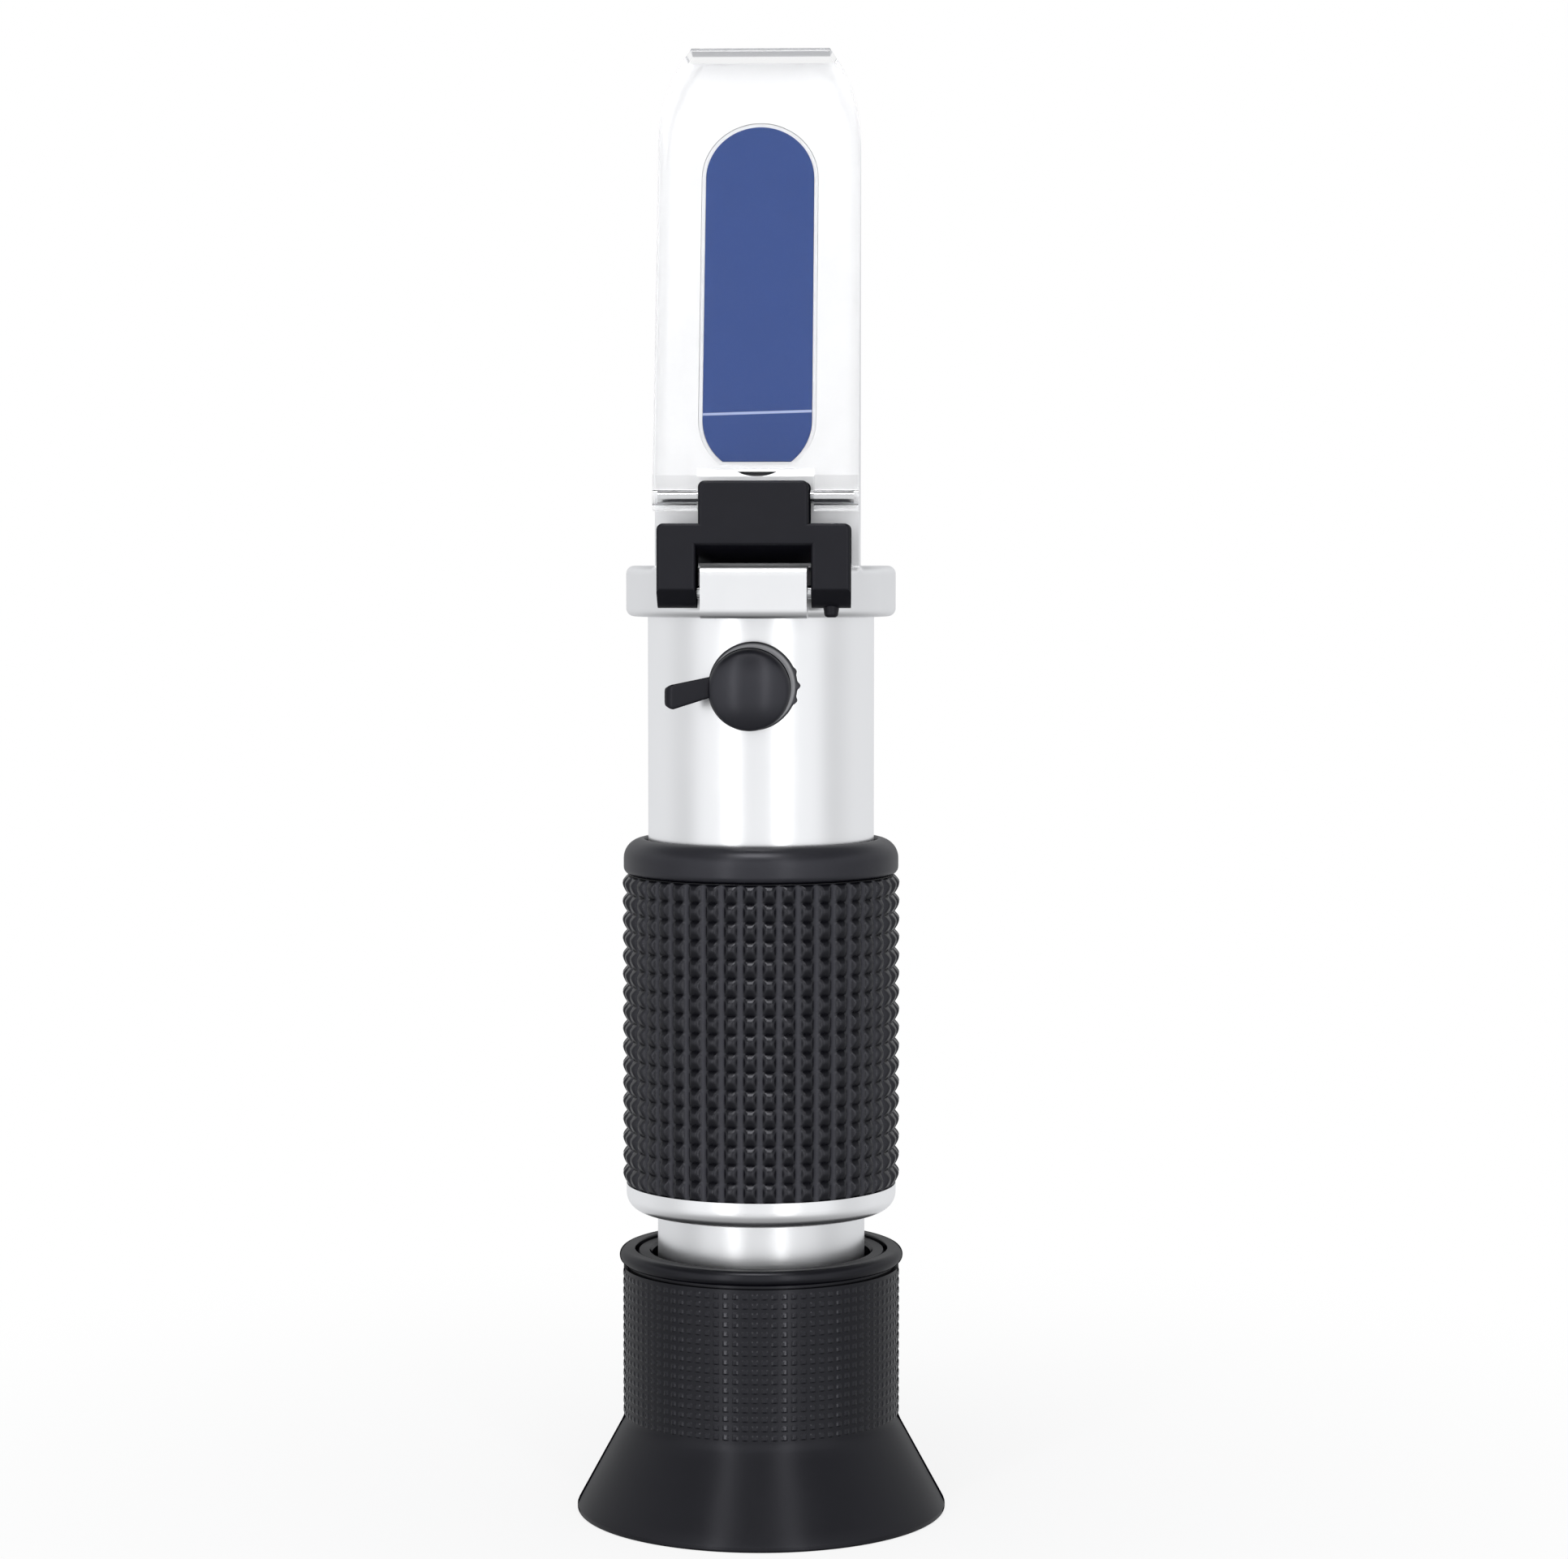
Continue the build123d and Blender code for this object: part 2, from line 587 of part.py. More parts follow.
with BuildPart() as calibration_screw:
    screw_end = carrier_r - SCREW_END_DEPTH
    across(SCREW_SHANK_R, screw_end, head_back - screw_end)
    across(SCREW_HEAD_R, head_back, SCREW_HEAD_LENGTH)
    with BuildSketch(Plane.XZ.offset(head_back + SCREW_HEAD_LENGTH)):
        with Locations((0, cal_z)):
            Rectangle(3 * SCREW_HEAD_R, SCREW_SLOT)
    extrude(amount=-SCREW_SLOT_DEPTH, mode=Mode.SUBTRACT)
calibration_screw.part.label = "calibration_screw"
export_step(calibration_screw.part, "parts/calibration_screw.step")

# Rubber base around the bushing, with the fixed leaf of the cap's strap
with BuildPart() as cap_base:
    across(CAP_BASE_R, 0, cap_base_front)
    leaf_back = fold_depth - STRAP_GAP - STRAP_THICK
    with BuildSketch(Plane.XZ.offset(leaf_back)):
        with Locations((-STRAP_REACH / 2, cal_z)):
            Rectangle(STRAP_REACH, STRAP_WIDTH)
    extrude(amount=STRAP_THICK)
    with BuildSketch(Plane.XY.offset(cal_z - STRAP_WIDTH / 2)):
        with Locations((-STRAP_REACH, -fold_depth)):
            Circle(FOLD_R)
    extrude(amount=STRAP_WIDTH)
    with BuildSketch(Plane.XY.offset(cal_z - CAP_BASE_R)):
        Circle(barrel_r + SOFT_CLEAR)
    extrude(amount=2 * CAP_BASE_R, mode=Mode.SUBTRACT)
    across(bushing_r + SOFT_CLEAR, 0, bushing_front, cal_z, Mode.SUBTRACT)
cap_base.part.label = "cap_base"
export_step(cap_base.part, "parts/cap_base.step")

# Rubber cap over the screw, with the swinging leaf of its strap
with BuildPart() as calibration_cap:
    across(CAP_R, cap_back, CAP_HEIGHT)
    dome = calibration_cap.edges().filter_by(GeomType.CIRCLE).sort_by(Axis.Y)[0]
    fillet(dome, CAP_ROUND)
    with BuildSketch(Plane.XZ.offset(fold_depth + STRAP_GAP)):
        leaf_length = STRAP_REACH - FOLD_R - STRAP_GAP
        with Locations((-leaf_length / 2, cal_z)):
            Rectangle(leaf_length, STRAP_WIDTH)
    extrude(amount=STRAP_THICK)
    across(CAP_R - CAP_WALL, 0, cap_back + CAP_HEIGHT - CAP_TOP_WALL, cal_z, Mode.SUBTRACT)
calibration_cap.part.label = "calibration_cap"
export_step(calibration_cap.part, "parts/calibration_cap.step")

# Well for the prism and the filter behind it, cut into the head below
with BuildPart() as prism_well:
    glass_column(SEAT_CLEAR)
    well_back = PRISM_BACK + BACKING_THICK + SEAT_CLEAR
    split(bisect_by=Plane.XZ.offset(-well_back), keep=Keep.TOP)

# Head casting: flange, hinge lug and the long head with its slanted measuring face
tip_y = -HEAD_FRONT + (head_top - face_z) * math.tan(math.radians(FACE_ANGLE))
back_round = min(BACK_ROUND, HEAD_HALF - tip_y - SOFT_CLEAR)
arc_shift = back_round * (1 - math.sqrt(0.5))

with BuildPart() as prism_head:
    with BuildSketch(Plane.XY.offset(flange_top)):
        Circle(HEAD_HALF)
        with Locations((0, -HEAD_FRONT / 2)):
            Rectangle(2 * HEAD_HALF, HEAD_FRONT)
    extrude(amount=HEAD_LENGTH)
    with BuildSketch(Plane.YZ):
        with BuildLine():
            Polyline(
                (HEAD_HALF, head_top - back_round),
                (HEAD_HALF, flange_top),
                (-HEAD_FRONT, flange_top),
                (-HEAD_FRONT, face_z),
                (tip_y, head_top),
                (HEAD_HALF - back_round, head_top),
            )
            ThreePointArc(
                (HEAD_HALF - back_round, head_top),
                (HEAD_HALF - arc_shift, head_top - arc_shift),
                (HEAD_HALF, head_top - back_round),
            )
        make_face()
    extrude(amount=2 * HEAD_HALF, both=True, mode=Mode.INTERSECT)
    with BuildSketch(Plane.XZ):
        with BuildLine():
            shoulders(HEAD_HALF, flange_top, head_top - SHOULDER_LENGTH, head_top)
        make_face()
    extrude(amount=2 * HEAD_HALF, both=True, mode=Mode.INTERSECT)
    with BuildSketch(Plane.XY.offset(flange_z)):
        Circle(flange_r)
    extrude(amount=FLANGE_HEIGHT)
    flange_rims = prism_head.edges().filter_by(GeomType.CIRCLE)
    flange_rims = flange_rims.filter_by(lambda rim: abs(rim.radius - flange_r) < RUN_CLEAR)
    fillet(flange_rims, FLANGE_ROUND)
    with BuildSketch(Plane.YZ) as lug_side:
        with Locations((yoke_front / 2, hinge_z)):
            Rectangle(-yoke_front, FLANGE_HEIGHT)
        fillet(lug_side.vertices().group_by(Axis.X)[0], LUG_ROUND)
    extrude(amount=LUG_HALF, both=True)
    ring(barrel_r + SEAT_CLEAR, LIGHT_R, flange_z, seal_top, mode=Mode.SUBTRACT)
    with BuildSketch(Plane.XY.offset(flange_z)):
        Circle(LIGHT_R)
    extrude(amount=FLANGE_HEIGHT + LIGHT_ABOVE, mode=Mode.SUBTRACT)
    add(prism_well.part, mode=Mode.SUBTRACT)
    with BuildSketch(face):
        with BuildLine():
            window_outline(SEAT_CLEAR + CEMENT_WIDTH)
        make_face()
    extrude(amount=-CEMENT_DEPTH, mode=Mode.SUBTRACT)
    with BuildSketch(face):
        with BuildLine():
            Line((-DRAIN_WIDTH / 2, DRAIN_HEIGHT), (DRAIN_WIDTH / 2, DRAIN_HEIGHT))
            ThreePointArc((DRAIN_WIDTH / 2, DRAIN_HEIGHT), (0, 0), (-DRAIN_WIDTH / 2, DRAIN_HEIGHT))
        make_face()
    extrude(amount=-DRAIN_DEPTH, mode=Mode.SUBTRACT)
    sideways(HINGE_PIN_R + SEAT_CLEAR, hinge_y, hinge_z, LUG_HALF, Mode.SUBTRACT)
    lock_z = flange_z + TUBE_SOCKET / 2
    for angle in LOCK_SCREW_ANGLES:
        way = Vector(math.cos(math.radians(angle)), math.sin(math.radians(angle)), 0)
        with BuildSketch(Plane(origin=(0, 0, lock_z), z_dir=way)):
            Circle(LOCK_SCREW_R + SEAT_CLEAR)
        extrude(amount=2 * flange_r, mode=Mode.SUBTRACT)
prism_head.part.label = "prism_head"
export_step(prism_head.part, "parts/prism_head.step")

# Rubber ring between the main tube's end and the head
with BuildPart() as head_seal:
    ring(barrel_r, bore_r, tube_top, seal_top)
head_seal.part.label = "head_seal"
export_step(head_seal.part, "parts/head_seal.step")

# Three set screws that hold the head on the tube, round the back of the flange
with BuildPart() as head_lock_screws:
    for angle in LOCK_SCREW_ANGLES:
        way = Vector(math.cos(math.radians(angle)), math.sin(math.radians(angle)), 0)
        screw_in = barrel_r + SEAT_CLEAR
        screw_out = flange_r - LOCK_SCREW_RECESS
        with BuildSketch(Plane(origin=way * screw_in + Vector(0, 0, lock_z), z_dir=way)):
            Circle(LOCK_SCREW_R)
        extrude(amount=screw_out - screw_in)
        with BuildSketch(Plane(origin=way * screw_out + Vector(0, 0, lock_z), z_dir=way)):
            RegularPolygon(LOCK_SCREW_HEX, 6)
        extrude(amount=-LOCK_SCREW_R, mode=Mode.SUBTRACT)
head_lock_screws.part.label = "head_lock_screws"
export_step(head_lock_screws.part, "parts/head_lock_screws.step")

# Measuring prism: its face lies in the slanted face, its back is upright
with BuildPart() as measuring_prism:
    glass_column(0)
    split(bisect_by=Plane.XZ.offset(-PRISM_BACK), keep=Keep.TOP)
measuring_prism.part.label = "measuring_prism"
export_step(measuring_prism.part, "parts/measuring_prism.step")

# Blue filter behind the prism, in the same well
with BuildPart() as prism_backing:
    glass_column(0)
    split(bisect_by=Plane.XZ.offset(-PRISM_BACK), keep=Keep.BOTTOM)
    split(bisect_by=Plane.XZ.offset(-(PRISM_BACK + BACKING_THICK)), keep=Keep.TOP)
prism_backing.part.label = "prism_backing"
export_step(prism_backing.part, "parts/prism_backing.step")

# Bead of cement around the prism's face
with BuildPart() as prism_cement:
    with BuildSketch(face.offset(-CEMENT_RECESS)):
        with BuildLine():
            window_outline(CEMENT_WIDTH)
        make_face()
        with BuildLine():
            window_outline(SEAT_CLEAR)
        make_face(mode=Mode.SUBTRACT)
    extrude(amount=-(CEMENT_DEPTH - CEMENT_RECESS))
prism_cement.part.label = "prism_cement"
export_step(prism_cement.part, "parts/prism_cement.step")

# Black clip: two legs on the hinge pin, a yoke, and the block that carries the plate
with BuildPart() as hinge_clip:
    with BuildSketch(Plane.YZ):
        leg_back = hinge_y + LEG_R
        with Locations((hinge_y, hinge_z)):
            Circle(LEG_R)
        with Locations(((yoke_front + leg_back) / 2, (hinge_z + LEG_FRONT + yoke_top) / 2)):
            Rectangle(leg_back - yoke_front, yoke_top - hinge_z - LEG_FRONT)
        make_hull()
        with Locations((yoke_front + YOKE_DEPTH / 2, (yoke_z + yoke_top) / 2)):
            Rectangle(YOKE_DEPTH, YOKE_HEIGHT)
    extrude(amount=leg_out, both=True)
    with BuildSketch(Plane.YZ):
        with BuildLine():
            Polyline(
                (yoke_front, hinge_z - 2 * LEG_R),
                (yoke_front + YOKE_DEPTH, hinge_z - 2 * LEG_R),
                (yoke_front + YOKE_DEPTH, yoke_z),
                (yoke_front, yoke_z + YOKE_UNDERCUT),
                close=True,
            )
        make_face()
    extrude(amount=leg_in, both=True, mode=Mode.SUBTRACT)
    with BuildSketch(Plane.XY.offset(yoke_z + YOKE_UNDERCUT)):
        with Locations((0, (yoke_front + block_back) / 2)):
            Rectangle(2 * BLOCK_HALF, block_back - yoke_front)
    extrude(amount=block_top - yoke_z - YOKE_UNDERCUT)
    upper_corners = hinge_clip.edges().filter_by(Axis.Y)
    upper_corners = upper_corners.filter_by(lambda edge: abs(edge.center().X) > BLOCK_HALF - RUN_CLEAR)
    upper_corners = upper_corners.filter_by(
        lambda edge: abs(edge.center().X) > leg_in or edge.center().Z > yoke_top + CLIP_ROUND
    )
    upper_corners = upper_corners.filter_by(lambda edge: edge.center().Z > yoke_top - RUN_CLEAR)
    fillet(upper_corners, CLIP_ROUND)
    fillet(hinge_clip.faces().sort_by(Axis.Y)[0].edges(), CLIP_FRONT_ROUND)
    with BuildSketch(Plane.XY.offset(hinge_z - LEG_R - GATE_NUB_HEIGHT)):
        with Locations(((leg_in + leg_out) / 2, hinge_y)):
            Circle(GATE_NUB_R)
    extrude(amount=GATE_NUB_HEIGHT + GATE_NUB_R, taper=-8)
    fillet(hinge_clip.faces().sort_by(Axis.Z)[0].edges(), GATE_NUB_ROUND)
    sideways(HINGE_PIN_R + RUN_CLEAR, hinge_y, hinge_z, leg_out, Mode.SUBTRACT)
    sideways(PLATE_PIN_R + SEAT_CLEAR, plate_pin.Y, plate_pin.Z, leg_out, Mode.SUBTRACT)
hinge_clip.part.label = "hinge_clip"
export_step(hinge_clip.part, "parts/hinge_clip.step")

with BuildPart() as hinge_pin:
    sideways(HINGE_PIN_R, hinge_y, hinge_z, leg_out - HINGE_PIN_END)
hinge_pin.part.label = "hinge_pin"
export_step(hinge_pin.part, "parts/hinge_pin.step")

# Clear daylight plate, notched around the clip's block, with an ear either side
with BuildPart() as daylight_plate:
    with BuildSketch(face.offset(PLATE_GAP)):
        with BuildLine():
            shoulders(HEAD_HALF, -PLATE_PIN_DROP, plate_shoulder, plate_length)
        make_face()
    extrude(amount=PLATE_THICK)
    sideways(PLATE_THICK / 2, plate_pin.Y, plate_pin.Z, HEAD_HALF)
    notch_low = plate_pin.Z - PLATE_THICK
    notch_top = block_top + NOTCH_ABOVE
    with BuildSketch(Plane.XZ):
        with Locations((0, (notch_low + notch_top) / 2)):
            Rectangle(2 * (BLOCK_HALF + NOTCH_GAP), notch_top - notch_low)
    extrude(amount=2 * HEAD_HALF, mode=Mode.SUBTRACT)
    sideways(PLATE_PIN_R + RUN_CLEAR, plate_pin.Y, plate_pin.Z, HEAD_HALF, Mode.SUBTRACT)
daylight_plate.part.label = "daylight_plate"
export_step(daylight_plate.part, "parts/daylight_plate.step")

with BuildPart() as plate_pin_bar:
    sideways(PLATE_PIN_R, plate_pin.Y, plate_pin.Z, HEAD_HALF - PLATE_PIN_END)
plate_pin_bar.part.label = "plate_pin"
export_step(plate_pin_bar.part, "parts/plate_pin.step")
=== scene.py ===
import json
import math

import bpy
import numpy as np
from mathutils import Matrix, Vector


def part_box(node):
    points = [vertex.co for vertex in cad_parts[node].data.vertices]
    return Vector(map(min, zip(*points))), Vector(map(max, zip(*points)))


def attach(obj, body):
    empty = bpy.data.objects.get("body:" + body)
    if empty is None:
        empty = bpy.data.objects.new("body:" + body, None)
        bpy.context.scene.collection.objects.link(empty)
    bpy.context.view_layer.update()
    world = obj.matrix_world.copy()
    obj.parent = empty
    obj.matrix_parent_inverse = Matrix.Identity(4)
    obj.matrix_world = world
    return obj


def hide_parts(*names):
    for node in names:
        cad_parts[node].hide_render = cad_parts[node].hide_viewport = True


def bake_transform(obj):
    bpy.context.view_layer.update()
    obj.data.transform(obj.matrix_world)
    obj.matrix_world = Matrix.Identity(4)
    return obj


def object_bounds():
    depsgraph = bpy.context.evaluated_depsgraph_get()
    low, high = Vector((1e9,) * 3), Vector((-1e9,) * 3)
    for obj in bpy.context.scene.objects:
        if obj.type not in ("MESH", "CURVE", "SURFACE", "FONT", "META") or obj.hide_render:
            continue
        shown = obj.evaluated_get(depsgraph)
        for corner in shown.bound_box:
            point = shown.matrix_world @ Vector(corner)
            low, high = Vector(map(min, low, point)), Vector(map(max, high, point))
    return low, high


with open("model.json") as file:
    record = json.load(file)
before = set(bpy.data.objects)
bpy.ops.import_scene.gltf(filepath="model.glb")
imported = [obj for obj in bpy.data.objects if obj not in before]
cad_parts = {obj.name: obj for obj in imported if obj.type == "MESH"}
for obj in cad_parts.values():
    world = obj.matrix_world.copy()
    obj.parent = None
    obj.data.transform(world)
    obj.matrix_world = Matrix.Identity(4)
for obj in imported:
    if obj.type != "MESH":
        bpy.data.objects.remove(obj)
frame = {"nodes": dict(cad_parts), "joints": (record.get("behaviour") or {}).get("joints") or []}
cad_low, cad_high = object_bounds()
MM = 0.001
nodes = frame["nodes"]

# Eye lens, its cell and the ring that holds it: a glass lens in a black anodised cell that slides
# inside the draw tube. They are seen only by looking up into the eyecup.


def shader_group(name, inputs, outputs):
    """Starts a shader node group with named inputs (name, kind, value) and outputs (name, kind)."""
    tree = bpy.data.node_groups.new(name, "ShaderNodeTree")
    for label, kind, value in inputs:
        socket = tree.interface.new_socket(label, in_out="INPUT", socket_type="NodeSocket" + kind)
        if value is not None:
            socket.default_value = value
    for label, kind in outputs:
        tree.interface.new_socket(label, in_out="OUTPUT", socket_type="NodeSocket" + kind)
    return tree, tree.nodes.new("NodeGroupInput"), tree.nodes.new("NodeGroupOutput")


def work_out(tree, operation, *given, clamp=False):
    """A Math node on values that may each be a number or another node's output; returns its output."""
    node = tree.nodes.new("ShaderNodeMath")
    node.operation = operation
    node.use_clamp = clamp
    for socket, value in zip(node.inputs, given):
        if isinstance(value, (int, float)):
            socket.default_value = value
        else:
            tree.links.new(value, socket)
    return node.outputs[0]


def turned_lines_group():
    """Fine rings left by the lathe: one noise along the height, so that it is the same all round."""
    tree, given, made = shader_group(
        "turned_lines",
        [("Vector", "Vector", None), ("Lines", "Float", 9000.0)],
        [("Height", "Float"), ("Smudge", "Float")],
    )
    split = tree.nodes.new("ShaderNodeSeparateXYZ")
    lines = tree.nodes.new("ShaderNodeTexNoise")
    lines.noise_dimensions = "1D"
    lines.inputs["Detail"].default_value = 3
    smudge = tree.nodes.new("ShaderNodeTexNoise")
    smudge.inputs["Scale"].default_value = 160
    smudge.inputs["Detail"].default_value = 4
    tree.links.new(given.outputs["Vector"], split.inputs[0])
    along = work_out(tree, "MULTIPLY", split.outputs["Z"], given.outputs["Lines"])
    tree.links.new(along, lines.inputs["W"])
    tree.links.new(given.outputs["Vector"], smudge.inputs["Vector"])
    tree.links.new(lines.outputs[0], made.inputs["Height"])
    tree.links.new(smudge.outputs[0], made.inputs["Smudge"])
    return tree


def moulded_grain_group():
    """Skin of a moulded or cast piece: fine grains for the height, broad patches for tone and smudges."""
    tree, given, made = shader_group(
        "moulded_grain",
        [("Vector", "Vector", None), ("Grains", "Float", 6000.0)],
        [("Height", "Float"), ("Tone", "Float"), ("Smudge", "Float")],
    )
    for result, scale, detail in (("Height", None, 2), ("Tone", 420, 5), ("Smudge", 110, 3)):
        noise = tree.nodes.new("ShaderNodeTexNoise")
        noise.inputs["Detail"].default_value = detail
        if scale:
            noise.inputs["Scale"].default_value = scale
        else:
            tree.links.new(given.outputs["Grains"], noise.inputs["Scale"])
        tree.links.new(given.outputs["Vector"], noise.inputs["Vector"])
        tree.links.new(noise.outputs[0], made.inputs[result])
    return tree


turned_lines = turned_lines_group()
moulded_grain = moulded_grain_group()


def start_material(name):
    """A node material with the piece's own coordinates; returns material, tree, shader, coordinates."""
    material = bpy.data.materials.new(name)
    material.use_nodes = True
    tree = material.node_tree
    shader = tree.nodes["Principled BSDF"]
    place = tree.nodes.new("ShaderNodeTexCoord")
    return material, tree, shader, place


def lay_group(tree, place, group, **values):
    """Lays a shader group on the piece's own coordinates and sets its inputs by name; returns its node."""
    node = tree.nodes.new("ShaderNodeGroup")
    node.node_tree = group
    for name, value in values.items():
        node.inputs[name].default_value = value
    tree.links.new(place.outputs["Object"], node.inputs["Vector"])
    return node


def vary_roughness(tree, shader, value, low, high):
    """Spreads a 0 to 1 value, which keeps mostly to its middle, over two roughnesses; returns the result."""
    spread = tree.nodes.new("ShaderNodeMapRange")
    spread.inputs["From Min"].default_value = 0.3
    spread.inputs["From Max"].default_value = 0.7
    spread.inputs["To Min"].default_value = low
    spread.inputs["To Max"].default_value = high
    tree.links.new(value, spread.inputs["Value"])
    tree.links.new(spread.outputs[0], shader.inputs["Roughness"])
    return spread.outputs[0]


def mix_colours(tree, factor, first, second):
    """A colour between two colours, which may each be a value or another node's output."""
    mix = tree.nodes.new("ShaderNodeMix")
    mix.data_type = "RGBA"
    for socket, given in ((mix.inputs["A"], first), (mix.inputs["B"], second)):
        if isinstance(given, tuple):
            socket.default_value = (*given, 1.0)
        else:
            tree.links.new(given, socket)
    tree.links.new(factor, mix.inputs["Factor"])
    return mix.outputs["Result"]


def raise_surface(tree, shader, height, depth):
    """Turns a 0 to 1 height into the shader's normal, with the depth in metres."""
    bump = tree.nodes.new("ShaderNodeBump")
    bump.inputs["Strength"].default_value = 0.6
    bump.inputs["Distance"].default_value = depth
    tree.links.new(height, bump.inputs["Height"])
    tree.links.new(bump.outputs[0], shader.inputs["Normal"])


def machined(name, dark, light, rough, metallic=1.0, lines=9000.0, depth=2e-6):
    """Turned metal: rings from the tool in the surface, and handling smudges in tone and gloss."""
    material, tree, shader, place = start_material(name)
    rings = lay_group(tree, place, turned_lines, Lines=lines)
    tint = mix_colours(tree, rings.outputs["Smudge"], dark, light)
    tree.links.new(tint, shader.inputs["Base Color"])
    vary_roughness(tree, shader, rings.outputs["Smudge"], *rough)
    raise_surface(tree, shader, rings.outputs["Height"], depth)
    shader.inputs["Metallic"].default_value = metallic
    return material


def optical_glass(name, edge_tint, face_tint):
    """Polished coated glass: the coating's tint turns with the angle, and faint smudges dull it."""
    material, tree, shader, place = start_material(name)
    grain = lay_group(tree, place, moulded_grain)
    angle = tree.nodes.new("ShaderNodeLayerWeight")
    angle.inputs["Blend"].default_value = 0.35
    coating = mix_colours(tree, angle.outputs["Facing"], face_tint, edge_tint)
    tree.links.new(coating, shader.inputs["Base Color"])
    vary_roughness(tree, shader, grain.outputs["Smudge"], 0.0, 0.015)
    shader.inputs["Transmission Weight"].default_value = 1.0
    shader.inputs["IOR"].default_value = 1.52
    return material


def dress(material, *names):
    """Gives a CAD node's slots their material."""
    for node in names:
        for slot in nodes[node].material_slots:
            slot.material = material


blackened_metal = machined("blackened_metal", (0.006, 0.006, 0.007), (0.016, 0.016, 0.018), (0.4, 0.55), 0.2)
blackened_metal.node_tree.nodes["Principled BSDF"].inputs["Specular IOR Level"].default_value = 0.4
coated_glass = optical_glass("coated_glass", (0.86, 0.9, 1.0), (0.97, 0.99, 0.97))
dress(blackened_metal, "eye_lens_cell", "eye_lens_retainer")
dress(coated_glass, "eye_lens")

# Draw tube and its guide pin: a bright turned tube with the focusing thread at its lower end. It is
# bare for a few millimetres between the eyecup and the grip, and the pin stands in its bore.
satin_tube = machined("satin_tube", (0.86, 0.865, 0.87), (0.885, 0.887, 0.892), (0.32, 0.38), depth=3e-7)
drawn_steel = machined("drawn_steel", (0.5, 0.5, 0.51), (0.66, 0.66, 0.67), (0.2, 0.34), lines=14000.0)
dress(satin_tube, "draw_tube")
dress(drawn_steel, "focus_guide_pin")

# Eyepiece shell: a black moulded ring that turns on the draw tube's thread. Its upper edge shows
# inside the eyecup's rim, as a hard black ring around the bright tube.
grazing_loss = 1.15


def moulded(name, dark, light, rough, specular, grains=6000.0, depth=8e-6, rise=None, worn=0.0):
    """Moulded rubber or plastic: a toned colour and a fine grain, duller at a low angle, by
    shine = specular . (1 - grazing_loss . facing). Where a piece has a rise, its tops take another colour,
    and handling has worn them: roughness - worn . rise, and shine + worn . rise / 2. That other colour
    is a painted sheen on the eyecup's dots and a painted highlight on the cap ring's front edge; on the
    grip the tops keep the rubber's own black, and the strips between them carry a painted sheen."""
    material, tree, shader, place = start_material(name)
    grain = lay_group(tree, place, moulded_grain, Grains=grains)
    tint = mix_colours(tree, grain.outputs["Tone"], dark, light)
    dull = vary_roughness(tree, shader, grain.outputs["Smudge"], *rough)
    facing = tree.nodes.new("ShaderNodeLayerWeight").outputs["Facing"]
    shine = work_out(tree, "MULTIPLY_ADD", facing, -grazing_loss * specular, specular, clamp=True)
    if rise:
        tops = tree.nodes.new("ShaderNodeAttribute")
        tops.attribute_name = "rise"
        tint = mix_colours(tree, tops.outputs["Fac"], tint, rise)
        dull = work_out(tree, "MULTIPLY_ADD", tops.outputs["Fac"], -worn, dull)
        shine = work_out(tree, "MULTIPLY_ADD", tops.outputs["Fac"], worn / 2, shine)
    tree.links.new(tint, shader.inputs["Base Color"])
    tree.links.new(dull, shader.inputs["Roughness"])
    shader.inputs["Specular IOR Level"].default_value = specular
    tree.links.new(shine, shader.inputs["Specular IOR Level"])
    raise_surface(tree, shader, grain.outputs["Height"], depth)
    shader.inputs["Specular Tint"].default_value = (0.92, 0.92, 1, 1)
    return material


shell_plastic = moulded("shell_plastic", (0.003, 0.003, 0.005), (0.005, 0.005, 0.008), (0.3, 0.38), 0.42)
dress(shell_plastic, "eyepiece_shell")

# Eyecup: black rubber, pulled over the shell. A flared foot shields the eye, and the sleeve above
# it has upright columns of fine raised dots under a beaded rim.
flare_r = cad_high.x / MM
cup_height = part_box("eyecup")[1].z / MM
foot_land, foot_round = 1.15, 0.3
cone_top = 10.3
sleeve_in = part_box("eyepiece_shell")[1].x / MM + 0.1
sleeve_r = sleeve_in + 1.35
shell_seat, seat_lip = 9.5, 0.8
dot_columns, dot_rows = 90, 16
dot_steps = 6
dot_low, dot_high = 10.75, 27.3
dot_pitch = (dot_high - dot_low) / dot_rows
dot_radius, dot_rise, dot_steep = 0.34, 0.07, 2.2
row_nudge = 0.001
crown_radius, crown_rise = 0.18, 0.008
groove_low, groove_high, groove_deep = 27.55, 27.95, 0.4
bead_r = sleeve_r + 0.45
bead_round, bore_round = 0.8, 0.2
# The second black is the light end of the rubber's random tone and the painted sheen on the dot tops.
eyecup_black, eyecup_tone_and_sheen_black = (0.0015, 0.0015, 0.003), (0.003, 0.003, 0.005)


def arc(centre_r, centre_z, radius, start, end, count):
    """Points of an arc in a profile, from one angle in degrees to another, outwards being 0."""
    turn = np.radians(np.linspace(start, end, count))
    return np.stack([centre_r + radius * np.cos(turn), centre_z + radius * np.sin(turn)], axis=1)


def carry_round(profile, columns, relief=None):
    """Carries a profile of (radius, height) round the Z axis, as a grid of columns by profile points.
    relief gives how far each point is pushed out, from its angle, radius and height."""
    angle = np.arange(columns) * (2 * np.pi / columns)
    turn, row = np.meshgrid(angle, np.arange(len(profile)), indexing="ij")
    radius, height = profile[row, 0], profile[row, 1]
    if relief is not None:
        radius = radius + relief(turn, radius, height)
    return np.stack([radius * np.cos(turn), radius * np.sin(turn), height], axis=-1)


